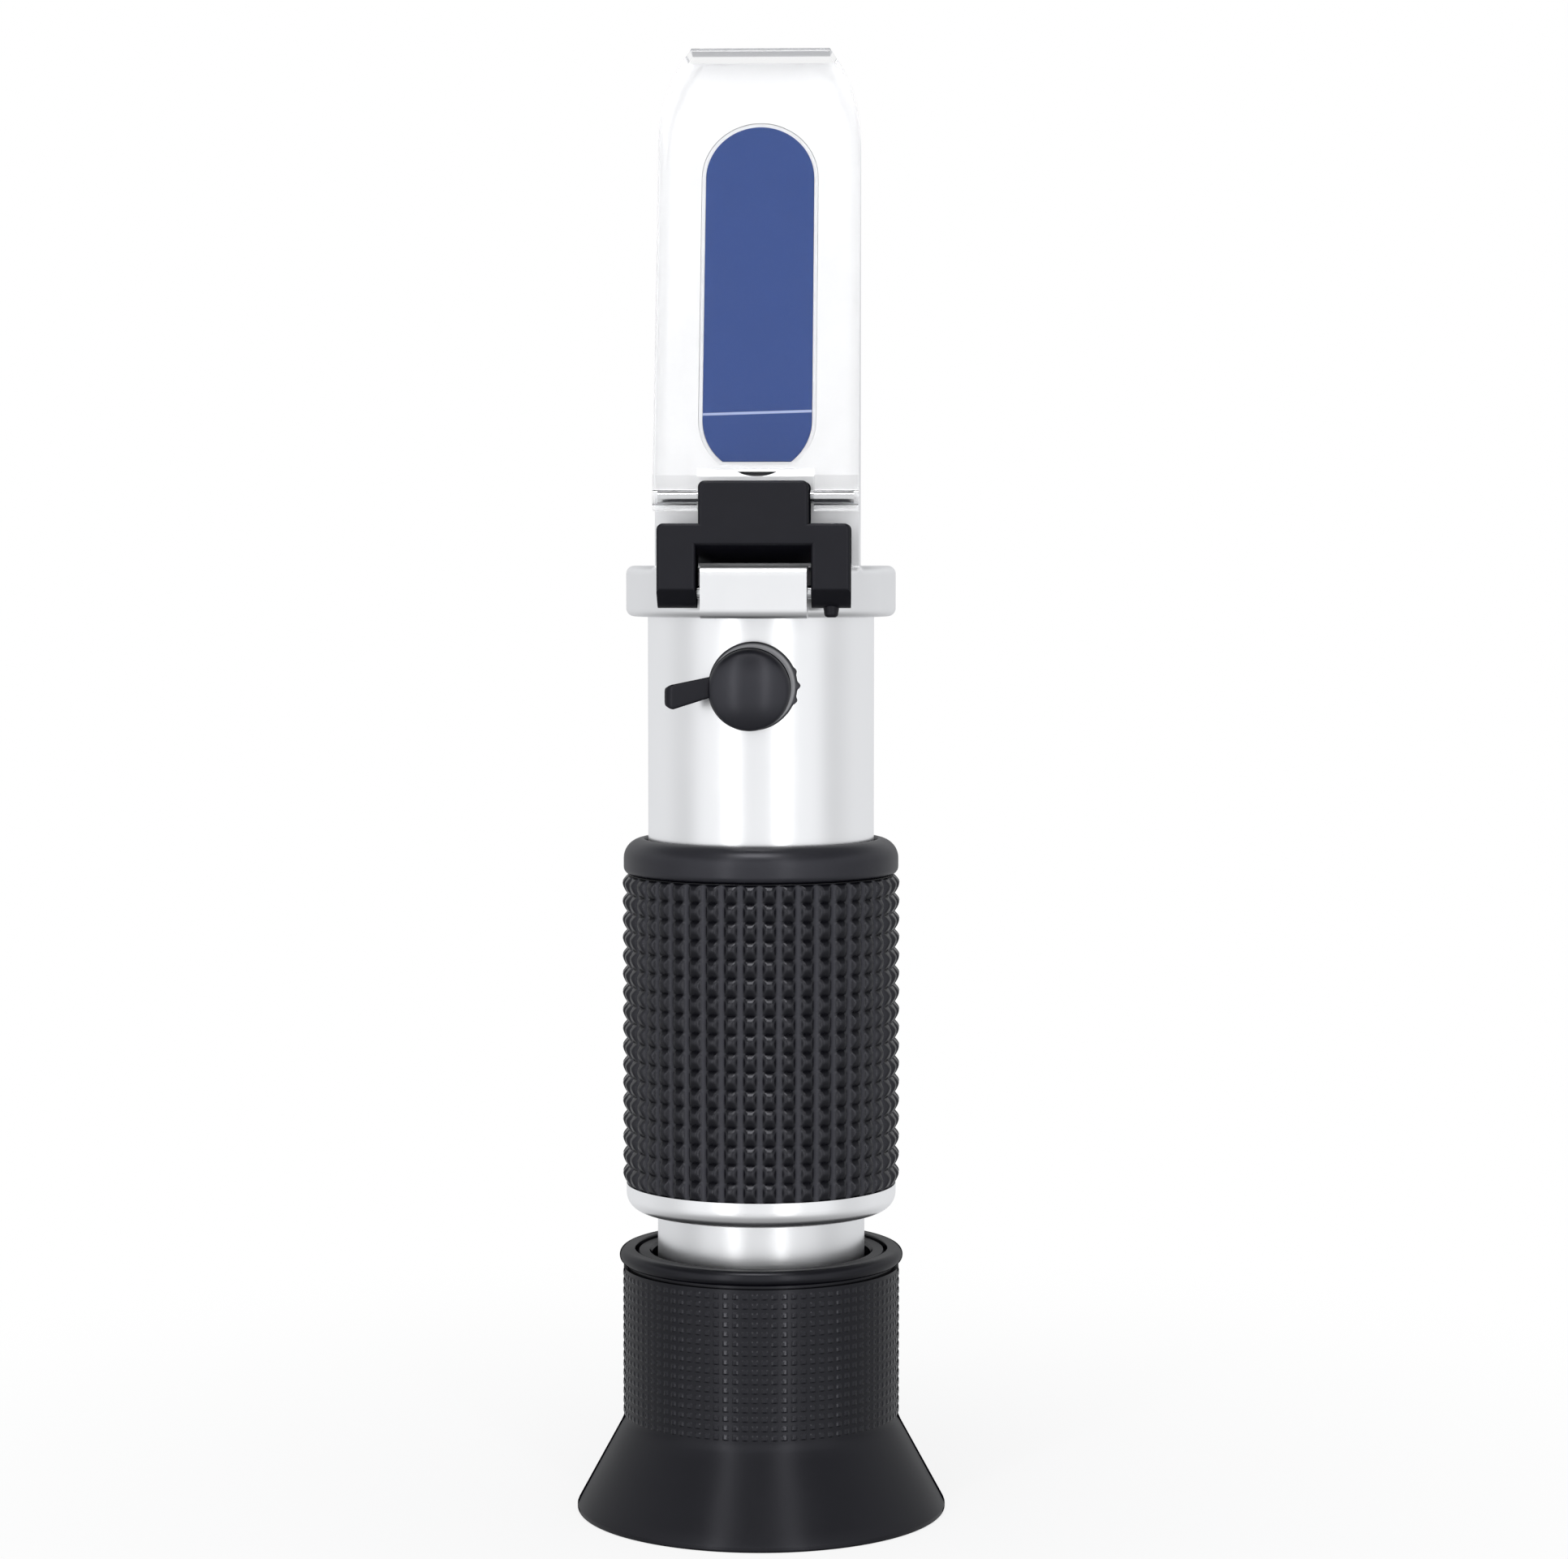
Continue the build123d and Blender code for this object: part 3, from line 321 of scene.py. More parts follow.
def skin(name, grid, crease, ring=False, first_pole=None, last_pole=None, rise=None):
    """Makes a closed skin from a grid of points in millimetres, columns round it by rows along it.
    Columns always meet; rows meet too on a ring, and otherwise each end closes on its pole. Edges
    sharper than the crease, in degrees, are drawn hard."""
    columns, rows = grid.shape[:2]
    row_steps = rows if ring else rows - 1
    i, j = np.meshgrid(np.arange(columns), np.arange(row_steps), indexing="ij")
    beside, above = (i + 1) % columns, (j + 1) % rows
    quads = np.stack([i * rows + j, beside * rows + j, beside * rows + above, i * rows + above], axis=-1)
    faces = quads.reshape(-1, 4).tolist()
    points = grid.reshape(-1, 3)
    column = np.arange(columns)
    following = (column + 1) % columns
    if first_pole is not None:
        points = np.vstack([points, first_pole])
        hub = np.full(columns, len(points) - 1)
        faces += np.stack([following * rows, column * rows, hub], axis=-1).tolist()
    if last_pole is not None:
        points = np.vstack([points, last_pole])
        hub = np.full(columns, len(points) - 1)
        last_row = np.stack([column * rows + rows - 1, following * rows + rows - 1, hub], axis=-1)
        faces += last_row.tolist()
    mesh = bpy.data.meshes.new(name)
    mesh.from_pydata(points * MM, [], faces)
    mesh.shade_smooth()
    mesh.set_sharp_from_angle(angle=math.radians(crease))
    if rise is not None:
        tops = np.zeros(len(points), np.float32)
        tops[: columns * rows] = rise.reshape(-1)
        mesh.attributes.new("rise", "FLOAT", "POINT").data.foreach_set("value", tops)
    piece = bpy.data.objects.new(name, mesh)
    bpy.context.scene.collection.objects.link(piece)
    return piece


def eyecup_dots(turn, radius, height):
    """A low dot in each cell of an upright grid on the sleeve's outer wall. Its flank climbs as
    steep . (1 - (distance / dot radius)^2), cut off at 1, and a barely raised cone crowns it."""
    across = (turn * dot_columns / (2 * np.pi)) % 1 - 0.5
    along = ((height - dot_low) / dot_pitch + row_nudge) % 1 - 0.5
    distance = np.hypot(across * 2 * np.pi * sleeve_r / dot_columns, along * dot_pitch)
    flank = np.clip(dot_steep * (1 - (distance / dot_radius) ** 2), 0, 1)
    crown = crown_rise * (1 - np.clip(distance / crown_radius, 0, 1))
    on_wall = (np.abs(radius - sleeve_r) < 0.01) & (height > dot_low) & (height < dot_high)
    return np.where(on_wall, dot_rise * flank + crown, 0)


cup_profile = np.vstack([
    [(flare_r - foot_land, 0.0)],
    arc(flare_r - foot_round, foot_round, foot_round, -90, 0, 8),
    [(flare_r, 0.6)],
    np.linspace((flare_r - 0.1, 0.85), (sleeve_r + 0.35, cone_top - 0.65), 10),
    [(sleeve_r + 0.06, cone_top), (sleeve_r, cone_top + 0.3)],
    np.linspace((sleeve_r, dot_low), (sleeve_r, dot_high), dot_steps * dot_rows + 1),
    [(sleeve_r, groove_low), (sleeve_r - groove_deep, groove_low + 0.05)],
    [(sleeve_r - groove_deep, groove_high - 0.05)],
    arc(bead_r - bead_round, groove_high + bead_round, bead_round, -75, 0, 9),
    arc(bead_r - bead_round, cup_height - bead_round, bead_round, 0, 90, 11),
    arc(sleeve_in + bore_round, cup_height - bore_round, bore_round, 90, 180, 8),
    [(sleeve_in, 20.0), (sleeve_in, shell_seat), (sleeve_in - seat_lip, shell_seat)],
    [(sleeve_in - seat_lip, shell_seat - seat_lip)],
    np.linspace((sleeve_in - 0.6, 8.5), (flare_r - foot_land - 0.2, 0.4), 8),
])
cup_grid = carry_round(cup_profile, dot_steps * dot_columns, eyecup_dots)
cup_rise = np.clip((np.hypot(cup_grid[..., 0], cup_grid[..., 1]) - cup_profile[:, 0]) / dot_rise, 0, 1)
# Painted sheen: the dot tops are painted a lighter black than the sleeve, and are worn glossier.
eyecup_rubber = moulded(
    "eyecup_rubber", eyecup_black, eyecup_tone_and_sheen_black, (0.28, 0.33), 0.41, 7000.0, 2e-6,
    rise=eyecup_tone_and_sheen_black, worn=0.16,
)
eyecup = skin("eyecup_rubber_cup", cup_grid, crease=15, ring=True, rise=cup_rise)
eyecup.data.materials.append(eyecup_rubber)
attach(eyecup, "eyepiece")
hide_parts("eyecup")

# Grip end ring and main tube: a bright ring closes the grip's lower end, and the bright barrel runs
# up through the grip to the head. Both are turned aluminium, polished with the lathe's fine rings.
bright_aluminium = machined(
    "bright_aluminium", (0.955, 0.96, 0.965), (0.985, 0.985, 0.99), (0.28, 0.32), depth=3e-7
)
dress(bright_aluminium, "grip_end_ring", "main_tube")

# Scale glass and stop: a glass disc in a black cell just above the draw tube, held by a lock ring,
# and a blackened stop further up. The barrel hides them.
scale_glass = optical_glass("scale_glass", (0.9, 0.95, 1.0), (0.98, 0.99, 0.99))
dress(scale_glass, "reticle_glass")
dress(blackened_metal, "reticle_cell", "reticle_lock_ring", "field_stop")

# Grip: a moulded black rubber sleeve, pulled over the barrel. Its lower field has rows of small
# round-topped nubs, in line up and across, and a groove divides it from the smooth rounded collar.
grip_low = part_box("grip_sleeve")[0].z / MM
grip_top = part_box("grip_sleeve")[1].z / MM
grip_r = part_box("grip_sleeve")[1].x / MM
grip_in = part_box("main_tube")[1].x / MM + 0.1
collar_low = grip_top - 4.0
nub_columns, nub_rows = 45, 17
nub_steps = 10
nub_rise, nub_round = 0.58, 1.6
nub_half, nub_flank, nub_crest = 0.72, 0.36, 0.6
nub_foot = grip_r - nub_rise
field_top = collar_low - 0.12
nub_pitch = (field_top - grip_low) / nub_rows
collar_r = grip_r - 0.15
collar_foot_round, collar_round = 0.85, 2.2
# The collar's colour lies part way from the strips' painted sheen towards the nubs' own black, and it is
# part worn.
collar_wear_and_sheen = 0.55
# Painted sheen: the smooth strips between the nub columns are painted a lighter black than the nubs,
# standing in for the light they catch.
grip_valley_sheen, grip_valley_sheen_light = (0.026, 0.026, 0.032), (0.038, 0.038, 0.046)


def grip_nubs(turn, radius, height):
    """A round-crested wedge in each cell: it climbs to a crest above its middle and falls faster above
    that, as 1 - (1 - climb)^round. Its sides slope down to a smooth strip that runs the whole height
    between the columns."""
    across = np.abs((turn * nub_columns / (2 * np.pi)) % 1 - 0.5) * 2
    along = ((height - grip_low) / nub_pitch + row_nudge) % 1
    side = np.clip((nub_half - across) / nub_flank, 0, 1)
    climb = np.minimum(along / nub_crest, (1 - along) / (1 - nub_crest))
    crest = 1 - (1 - climb) ** nub_round
    on_field = (np.abs(radius - nub_foot) < 0.01) & (height < field_top + 0.01)
    return np.where(on_field, nub_rise * np.minimum(side, crest), 0)


grip_profile = np.vstack([
    [(grip_in, grip_low), (nub_foot - 0.3, grip_low)],
    np.linspace((nub_foot, grip_low + 0.02), (nub_foot, field_top), nub_steps * nub_rows + 1),
    [(nub_foot - 0.2, field_top + 0.03), (nub_foot - 0.2, collar_low - 0.03)],
    arc(collar_r - collar_foot_round, collar_low + collar_foot_round, collar_foot_round, -90, 0, 8),
    arc(collar_r - collar_round, grip_top - collar_round, collar_round, 0, 80, 10),
    [(grip_in + 0.45, grip_top - 0.02), (grip_in + 0.35, grip_top - 0.1), (grip_in + 0.3, grip_top - 0.8)],
    [(grip_in, grip_top - 0.9), (grip_in, 55.0)],
])
grip_grid = carry_round(grip_profile, nub_steps * nub_columns, grip_nubs)
between = np.abs((np.arange(nub_steps * nub_columns) / nub_steps) % 1 - 0.5) * 2 > nub_half
in_field = np.abs(grip_profile[:, 0] - nub_foot) < 0.01
grip_rise = np.where(between[:, None] & in_field[None, :], 0.0, 1.0)
grip_rise[:, grip_profile[:, 1] > collar_low + 0.2] = collar_wear_and_sheen
# The strips take the lighter blacks of the painted sheen; the nubs' tops take the rubber's own darker black.
grip_rubber = moulded(
    "grip_rubber", grip_valley_sheen, grip_valley_sheen_light, (0.38, 0.44), 0.46, 5000.0, 4e-6,
    rise=(0.003, 0.003, 0.005), worn=0.13,
)
grip = skin("grip_rubber_sleeve", grip_grid, crease=60, ring=True, rise=grip_rise)
grip.data.materials.append(grip_rubber)
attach(grip, "body")
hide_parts("grip_sleeve")

# Objective, its sliding carrier and the strip that corrects for temperature: a coated lens in a
# black carrier, and a rolled two-metal strip riveted to the bore behind it. The barrel hides them.
rolled_strip = machined("rolled_strip", (0.5, 0.43, 0.3), (0.66, 0.6, 0.47), (0.25, 0.42), lines=5000.0)
dress(blackened_metal, "objective_carrier", "objective_retainer")
dress(coated_glass, "objective_lens")
dress(rolled_strip, "bimetal_strip")
dress(drawn_steel, "bimetal_rivets")

# Calibration bushing and screw: a turned brass bushing in the barrel's wall, and the slotted steel
# screw in it. They show when the rubber cap is swung open.
turned_brass = machined("turned_brass", (0.62, 0.43, 0.17), (0.78, 0.58, 0.28), (0.18, 0.32), lines=12000.0)
dress(turned_brass, "calibration_bushing")
dress(drawn_steel, "calibration_screw")

# Base ring of the cap: black rubber, pulled over the bushing. Its back fits the barrel's curve, and
# a few small nubs on its right side give the fingertip a hold.
cap_z = (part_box("calibration_screw")[0].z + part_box("calibration_screw")[1].z) / 2 / MM
base_r = (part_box("cap_base")[1].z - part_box("cap_base")[0].z) / 2 / MM
base_front = grip_in + 1.2
bushing_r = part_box("calibration_bushing")[1].x / MM + 0.1
base_edge, bore_edge = 0.4, 0.25
edge_points = 6
ring_shift = 0.3
ring_nub_pitch, ring_nub_rise = 18, 0.32
ring_nub_middle, ring_nub_spread = -0.05, 0.42
cap_black, cap_black_light = (0.006, 0.006, 0.009), (0.01, 0.01, 0.014)
# Pale grey of the painted highlight on the base ring's front edge.
rim_highlight_grey = (0.42, 0.42, 0.43)


def face_forward(grid, height):
    """Turns a grid made round the Z axis so that its axis points at the front, at a given height."""
    return np.stack([grid[..., 0], -grid[..., 2], grid[..., 1] + height], axis=-1)


def base_ring_nubs(turn, radius, height):
    """Small nubs side by side on the right of the ring's rim, as cos(18 . angle) ^ 0.8 where that is
    above nothing, fading out at either end."""
    side = (turn + np.pi) % (2 * np.pi) - np.pi
    wave = np.clip(np.cos(side * ring_nub_pitch), 0, 1) ** 0.8
    fade = np.clip(1.5 - np.abs(side - ring_nub_middle) / ring_nub_spread, 0, 1)
    return np.where(radius > base_r - 0.1, ring_nub_rise * wave * fade, 0)


def base_ring_grid(columns=160):
    """A ring with a flat front and rounded edges. Its back lies on the barrel, at depth =
    sqrt(R^2 - x^2), and its rim has slipped to the left, while its bore stays on the bushing."""
    section = np.vstack([
        [(bushing_r, 0.0), (base_r - 0.2, 0.0), (base_r, 0.12)],
        arc(base_r - base_edge, base_front - base_edge, base_edge, 0, 90, edge_points),
        arc(bushing_r + bore_edge, base_front - bore_edge, bore_edge, 90, 180, 4),
    ])
    grid = carry_round(section, columns, base_ring_nubs)
    outward = (np.hypot(grid[..., 0], grid[..., 1]) - bushing_r) / (base_r - bushing_r)
    on_barrel = np.sqrt(grip_in**2 - grid[..., 0] ** 2)
    grid[..., 2] = np.where(grid[..., 2] < 1, grid[..., 2] + on_barrel + 0.02, grid[..., 2])
    grid[..., 0] -= ring_shift * np.clip(outward, 0, 1)
    return face_forward(grid, cap_z)


# A painted highlight: the front edge's last three points are painted pale grey, more and more towards
# the flat front, where the rim catches the light, and are worn a little glossier.
ring_grid = base_ring_grid()
ring_highlight_and_wear = np.zeros(ring_grid.shape[:2])
front_start = 3 + edge_points
ring_highlight_and_wear[:, front_start - 3 : front_start] = (0.15, 0.7, 1)
ring_rubber = moulded(
    "ring_rubber", cap_black, cap_black_light, (0.3, 0.36), 0.6, 5500.0, 3e-6, rise=rim_highlight_grey, worn=0.1
)
base_ring = skin("cap_base_ring", ring_grid, crease=40, ring=True, rise=ring_highlight_and_wear)
base_ring.data.materials.append(ring_rubber)
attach(base_ring, "body")
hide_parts("cap_base")

# Cap: a hollow rubber dome that keeps the screw covered. It sits a little askew on its base, as
# soft caps do, and hangs from the strap on its left. Its crown falls off as 1.3 . (r / R)^2.
dome_r = (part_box("calibration_cap")[1].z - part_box("calibration_cap")[0].z) / 2 / MM
dome_front = -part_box("calibration_cap")[0].y / MM
dome_back = -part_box("calibration_cap")[1].y / MM
dome_lean = math.radians(7)
dome_shift, dome_sag = ring_shift + 0.27, 0.2
dome_round, dome_shoulder = 1.0, dome_front - 2.155
dome_wall, dome_lip = 1.1, 0.25
crown_top, crown_drop = dome_front - 0.25, 1.3
crown_r = np.linspace(dome_r - 0.75, 0.4, 12)
dome_profile = np.vstack([
    [(1.6, dome_front - 1.25), (3.1, dome_front - 1.45), (dome_r - dome_wall, dome_front - 2.1)],
    [(dome_r - dome_wall, dome_back + 0.1), (dome_r - dome_wall + 0.15, dome_back)],
    arc(dome_r - dome_lip, dome_back + dome_lip, dome_lip, -90, 0, 4),
    arc(dome_r - dome_round, dome_shoulder, dome_round, 5, 64, 9),
    np.stack([crown_r, crown_top - crown_drop * (crown_r / dome_r) ** 2], axis=1),
])
dome_grid = face_forward(carry_round(dome_profile, 96), 0.0)
pole_in = (0.0, -(dome_front - 1.22), 0.0)
pole_out = (0.0, -crown_top, 0.0)


def lean(points):
    """Tips points about the dome's back edge, so that its crown drops, and sets them before the screw."""
    points = np.asarray(points, float)
    ahead = -points[..., 1] - dome_back
    up = points[..., 2] * math.cos(dome_lean) - ahead * math.sin(dome_lean)
    front = dome_back + ahead * math.cos(dome_lean)
    return np.stack([points[..., 0] - dome_shift, -front, up + cap_z - dome_sag], axis=-1)


cap_rubber = moulded("cap_rubber", cap_black, cap_black_light, (0.3, 0.36), 0.62, 5500.0, 3e-6)
dome = skin("cap_dome", lean(dome_grid), crease=50, first_pole=lean(pole_in), last_pole=lean(pole_out))
dome.data.materials.append(cap_rubber)
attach(dome, "cap")
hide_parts("calibration_cap")

# Strap of the cap: one flat rubber ribbon, folded back on itself at the left. It runs out from the
# base ring to the fold, which lies on the hinge, and back to the dome.
fold = next(joint for joint in frame["joints"] if joint["name"] == "cap_hinge")["pos_m"]
fold_x, fold_y = fold[0] / MM, fold[1] / MM
strap_width, strap_thick = 2.35, 0.8
strap_corner = 0.4
strap_root, strap_spread, strap_tuck = 0.94, 0.2, 0.3
leaf_shift = 0.6
strap_drop = 1.15
ring_end, dome_end = -(base_r - 0.35), -(dome_r - 0.5)
strap_black, strap_black_light = (0.002, 0.002, 0.004), (0.005, 0.005, 0.008)


def strap_path(count=9):
    """The ribbon's middle line seen from above: out from the ring, a half turn, and back to the dome."""
    turn = np.radians(np.linspace(90, 270, 2 * count))
    bend = np.stack([fold_x + leaf_shift * np.cos(turn), fold_y + leaf_shift * np.sin(turn)], axis=1)
    first = np.linspace((ring_end, fold_y + leaf_shift), bend[0], count)[:-1]
    last = np.linspace(bend[-1], (dome_end, fold_y - leaf_shift), count)[1:]
    return np.vstack([first, bend, last])


def strap_grid(columns=28):
    """Carries a flat section with round corners, sign(cos) . |cos|^0.4 by sign(sin) . |sin|^0.4, along
    the path. It hangs lower and grows wider towards the fold, and is a little tucked in at the fold."""
    path = strap_path()
    ahead = np.gradient(path, axis=0)
    ahead /= np.linalg.norm(ahead, axis=1)[:, None]
    turn = np.arange(columns) * (2 * np.pi / columns)
    flat = np.sign(np.cos(turn)) * np.abs(np.cos(turn)) ** strap_corner * strap_thick / 2
    wide = np.sign(np.sin(turn)) * np.abs(np.sin(turn)) ** strap_corner * strap_width / 2
    x = path[:, 0] - flat[:, None] * ahead[:, 1]
    y = path[:, 1] + flat[:, None] * ahead[:, 0]
    outward = np.clip((ring_end - path[:, 0]) / (ring_end - fold_x), 0, 1)
    tucked = np.clip((fold_x - path[:, 0]) / leaf_shift, 0, 1) ** 2
    breadth = strap_root + strap_spread * outward - strap_tuck * tucked
    z = wide[:, None] * breadth - strap_drop * outward + cap_z
    return np.stack([x, y, z], axis=-1)


ribbon_grid = strap_grid()
ribbon_ends = ribbon_grid.mean(axis=0)
strap_rubber = moulded("strap_rubber", strap_black, strap_black_light, (0.28, 0.34), 0.36, 5500.0, 3e-6)
strap = skin("cap_strap", ribbon_grid, crease=50, first_pole=ribbon_ends[0], last_pole=ribbon_ends[-1])
strap.data.materials.append(strap_rubber)
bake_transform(strap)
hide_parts("cap_base", "calibration_cap")

# Head casting with its seal and set screws: the flange, the hinge lug and the long slanted head are
# one aluminium casting, blasted to a fine satin. A rubber ring seals it, three set screws hold it.
face_lean = math.radians(15)
face_foot_y, face_foot_z = -9.9, 115.7
drain_y, drain_z = face_foot_y + 0.5, face_foot_z + 0.5
drain_deep, drain_spread = 0.46, 0.4
drain_reach, drain_below = 2.6, 0.45
# Grey of the painted shade in the small drain at the foot of the slanted face.
drain_painted_shade = (0.13, 0.13, 0.135)
casting_grey, casting_light = (0.875, 0.878, 0.885), (0.905, 0.907, 0.912)


def cast_metal(name, dark, light, rough, grains, depth):
    """Blasted cast metal: a fine pebbled grain and broad patches of tone. A painted shade darkens the small
    drain at the foot of the slanted face, which is where three masks meet: sunk behind the face, whose
    depth is (0, cos, -sin) of its lean dotted with the place; near the drain; and not below it."""
    material, tree, shader, place = start_material(name)
    grain = lay_group(tree, place, moulded_grain, Grains=grains)
    inward = tree.nodes.new("ShaderNodeVectorMath")
    inward.operation = "DOT_PRODUCT"
    inward.inputs[1].default_value = (0, math.cos(face_lean), -math.sin(face_lean))
    reach = tree.nodes.new("ShaderNodeVectorMath")
    reach.operation = "DISTANCE"
    reach.inputs[1].default_value = (0, drain_y * MM, drain_z * MM)
    split = tree.nodes.new("ShaderNodeSeparateXYZ")
    for node in (inward, reach, split):
        tree.links.new(place.outputs["Object"], node.inputs[0])
    face_level = face_foot_y * math.cos(face_lean) - face_foot_z * math.sin(face_lean)
    drain_level = (face_level + drain_deep) * MM
    sunk = work_out(tree, "COMPARE", inward.outputs["Value"], drain_level, drain_spread * MM)
    near = work_out(tree, "LESS_THAN", reach.outputs["Value"], drain_reach * MM)
    above = work_out(tree, "GREATER_THAN", split.outputs["Z"], (drain_z - drain_below) * MM)
    # Painted shade: where the three masks meet, the drain takes the dark grey.
    drain = work_out(tree, "MULTIPLY", work_out(tree, "MULTIPLY", sunk, near), above)
    body = mix_colours(tree, grain.outputs["Tone"], dark, light)
    tree.links.new(mix_colours(tree, drain, body, drain_painted_shade), shader.inputs["Base Color"])
    vary_roughness(tree, shader, grain.outputs["Smudge"], *rough)
    raise_surface(tree, shader, grain.outputs["Height"], depth)
    shader.inputs["Metallic"].default_value = 1.0
    return material


satin_casting = cast_metal("satin_casting", casting_grey, casting_light, (0.38, 0.44), 5200.0, 3e-6)
seal_rubber = moulded("seal_rubber", (0.006, 0.006, 0.007), (0.012, 0.012, 0.013), (0.5, 0.6), 0.4)
black_oxide = machined("black_oxide", (0.02, 0.02, 0.022), (0.045, 0.045, 0.05), (0.3, 0.45), 0.8)
dress(satin_casting, "prism_head")
dress(seal_rubber, "head_seal")
dress(black_oxide, "head_lock_screws")

# Measuring prism, the filter behind it and the cement round it: the glass is set in the slanted
# face, and looks one even blue from the filter at its back. A pale bead of cement holds its edge.
line_height, line_slope, line_half = 122.5, 0.03, 0.14
line_blue = (0.5, 0.58, 0.85)


def prism_glass(name, deep, clear):
    """Polished glass over a blue filter: an even blue body with faint clouding and a clean gloss. A thin
    pale line runs low across the face, where z - slope . x is the line's height."""
    material, tree, shader, place = start_material(name)
    grain = lay_group(tree, place, moulded_grain)
    split = tree.nodes.new("ShaderNodeSeparateXYZ")
    tree.links.new(place.outputs["Object"], split.inputs[0])
    level = work_out(tree, "MULTIPLY_ADD", split.outputs["X"], -line_slope, split.outputs["Z"])
    line = work_out(tree, "COMPARE", level, line_height * MM, line_half * MM)
    body = mix_colours(tree, grain.outputs["Smudge"], deep, clear)
    tree.links.new(mix_colours(tree, line, body, line_blue), shader.inputs["Base Color"])
    vary_roughness(tree, shader, grain.outputs["Smudge"], 0.02, 0.05)
    shader.inputs["Transmission Weight"].default_value = 0.1
    shader.inputs["Specular IOR Level"].default_value = 0.1
    shader.inputs["IOR"].default_value = 1.52
    return material


blue_glass = prism_glass("blue_glass", (0.046, 0.09, 0.29), (0.052, 0.098, 0.31))
blue_film = moulded("blue_film", (0.05, 0.085, 0.26), (0.06, 0.1, 0.3), (0.25, 0.35), 0.5, 3000.0, 2e-6)
pale_cement = moulded(
    "pale_cement", (0.9, 0.905, 0.91), (0.93, 0.93, 0.935), (0.45, 0.6), 0.5, 3500.0, 3e-6
)
dress(blue_glass, "measuring_prism")
dress(blue_film, "prism_backing")
dress(pale_cement, "prism_cement")

# Hinge clip and its pin: a black nylon moulding with two legs on a steel pin through the lug. Its
# block carries the plate.
clip_nylon = moulded(
    "clip_nylon", (0.003, 0.003, 0.005), (0.006, 0.006, 0.009), (0.36, 0.44), 0.32, 4500.0, 4e-6
)
polished_steel = machined(
    "polished_steel", (0.62, 0.625, 0.635), (0.76, 0.765, 0.775), (0.12, 0.24), lines=16000.0
)
dress(clip_nylon, "hinge_clip")
dress(polished_steel, "hinge_pin")

# Daylight plate and its pin: a clear moulded plate that lies over the prism and spreads the drop.
# A bright steel pin runs through its two ears and the clip's block.
tip_low = cad_high.z - 0.22 * MM
tip_grey = (0.42, 0.43, 0.45)


def clear_plastic(name, face_tint, edge_tint):
    """Clear moulded plastic: almost colourless, faintly clouded and polished all over; a thin band along its
    tip is tinted grey.
    """
    material, tree, shader, place = start_material(name)
    grain = lay_group(tree, place, moulded_grain)
    angle = tree.nodes.new("ShaderNodeLayerWeight")
    angle.inputs["Blend"].default_value = 0.25
    split = tree.nodes.new("ShaderNodeSeparateXYZ")
    tree.links.new(place.outputs["Object"], split.inputs[0])
    tip = work_out(tree, "GREATER_THAN", split.outputs["Z"], tip_low)
    body = mix_colours(tree, angle.outputs["Facing"], face_tint, edge_tint)
    tree.links.new(mix_colours(tree, tip, body, tip_grey), shader.inputs["Base Color"])
    vary_roughness(tree, shader, grain.outputs["Smudge"], 0.0, 0.03)
    shader.inputs["Transmission Weight"].default_value = 1.0
    shader.inputs["Specular IOR Level"].default_value = 0.15
    shader.inputs["IOR"].default_value = 1.2
    return material


plate_plastic = clear_plastic("plate_plastic", (0.995, 0.996, 1.0), (0.98, 0.985, 0.995))
dress(plate_plastic, "daylight_plate")
dress(polished_steel, "plate_pin")

# Floor: a plain pale sheet of studio card that takes the object's shadow near its foot and melts
# into the white around it.
floor_half = 3.0
clear_from, clear_to = 0.02, 0.16
foot_white = 0.8


def studio_floor():
    """White card; camera rays see it whiter, and wholly white a hand's breadth from the object. To what
    the object mirrors and to the lamps it isn't there, so that the walls and the tall lamps show their
    lower ends in metal and rubber as well."""
    reach = floor_half
    corners = [(-reach, -reach, 0.0), (reach, -reach, 0.0), (reach, reach, 0.0), (-reach, reach, 0.0)]
    mesh = bpy.data.meshes.new("studio_floor")
    mesh.from_pydata(corners, [], [(0, 1, 2, 3)])
    floor = bpy.data.objects.new("studio_floor", mesh)
    bpy.context.scene.collection.objects.link(floor)
    material, tree, shader, place = start_material("studio_card")
    shader.inputs["Base Color"].default_value = (0.93, 0.93, 0.93, 1)
    shader.inputs["Roughness"].default_value = 0.9
    shader.inputs["Specular IOR Level"].default_value = 0.1
    away = tree.nodes.new("ShaderNodeVectorMath")
    away.operation = "LENGTH"
    fade = tree.nodes.new("ShaderNodeMapRange")
    fade.interpolation_type = "SMOOTHSTEP"
    fade.inputs["From Min"].default_value = clear_from
    fade.inputs["From Max"].default_value = clear_to
    fade.inputs["To Min"].default_value = foot_white
    rays = tree.nodes.new("ShaderNodeLightPath")
    white = tree.nodes.new("ShaderNodeEmission")
    white.inputs["Color"].default_value = (1, 1, 1, 1)
    absent = tree.nodes.new("ShaderNodeBsdfTransparent")
    card = tree.nodes.new("ShaderNodeMixShader")
    seen = tree.nodes.new("ShaderNodeMixShader")
    link = tree.links.new
    link(place.outputs["Object"], away.inputs[0])
    link(away.outputs["Value"], fade.inputs["Value"])
    link(work_out(tree, "MULTIPLY", fade.outputs[0], rays.outputs["Is Camera Ray"]), card.inputs["Fac"])
    link(shader.outputs[0], card.inputs[1])
    link(white.outputs[0], card.inputs[2])
    passes = work_out(tree, "MAXIMUM", rays.outputs["Is Glossy Ray"], rays.outputs["Is Shadow Ray"])
    link(passes, seen.inputs["Fac"])
    link(card.outputs[0], seen.inputs[1])
    link(absent.outputs[0], seen.inputs[2])
    link(seen.outputs[0], tree.nodes["Material Output"].inputs["Surface"])
    mesh.materials.append(material)


studio_floor()

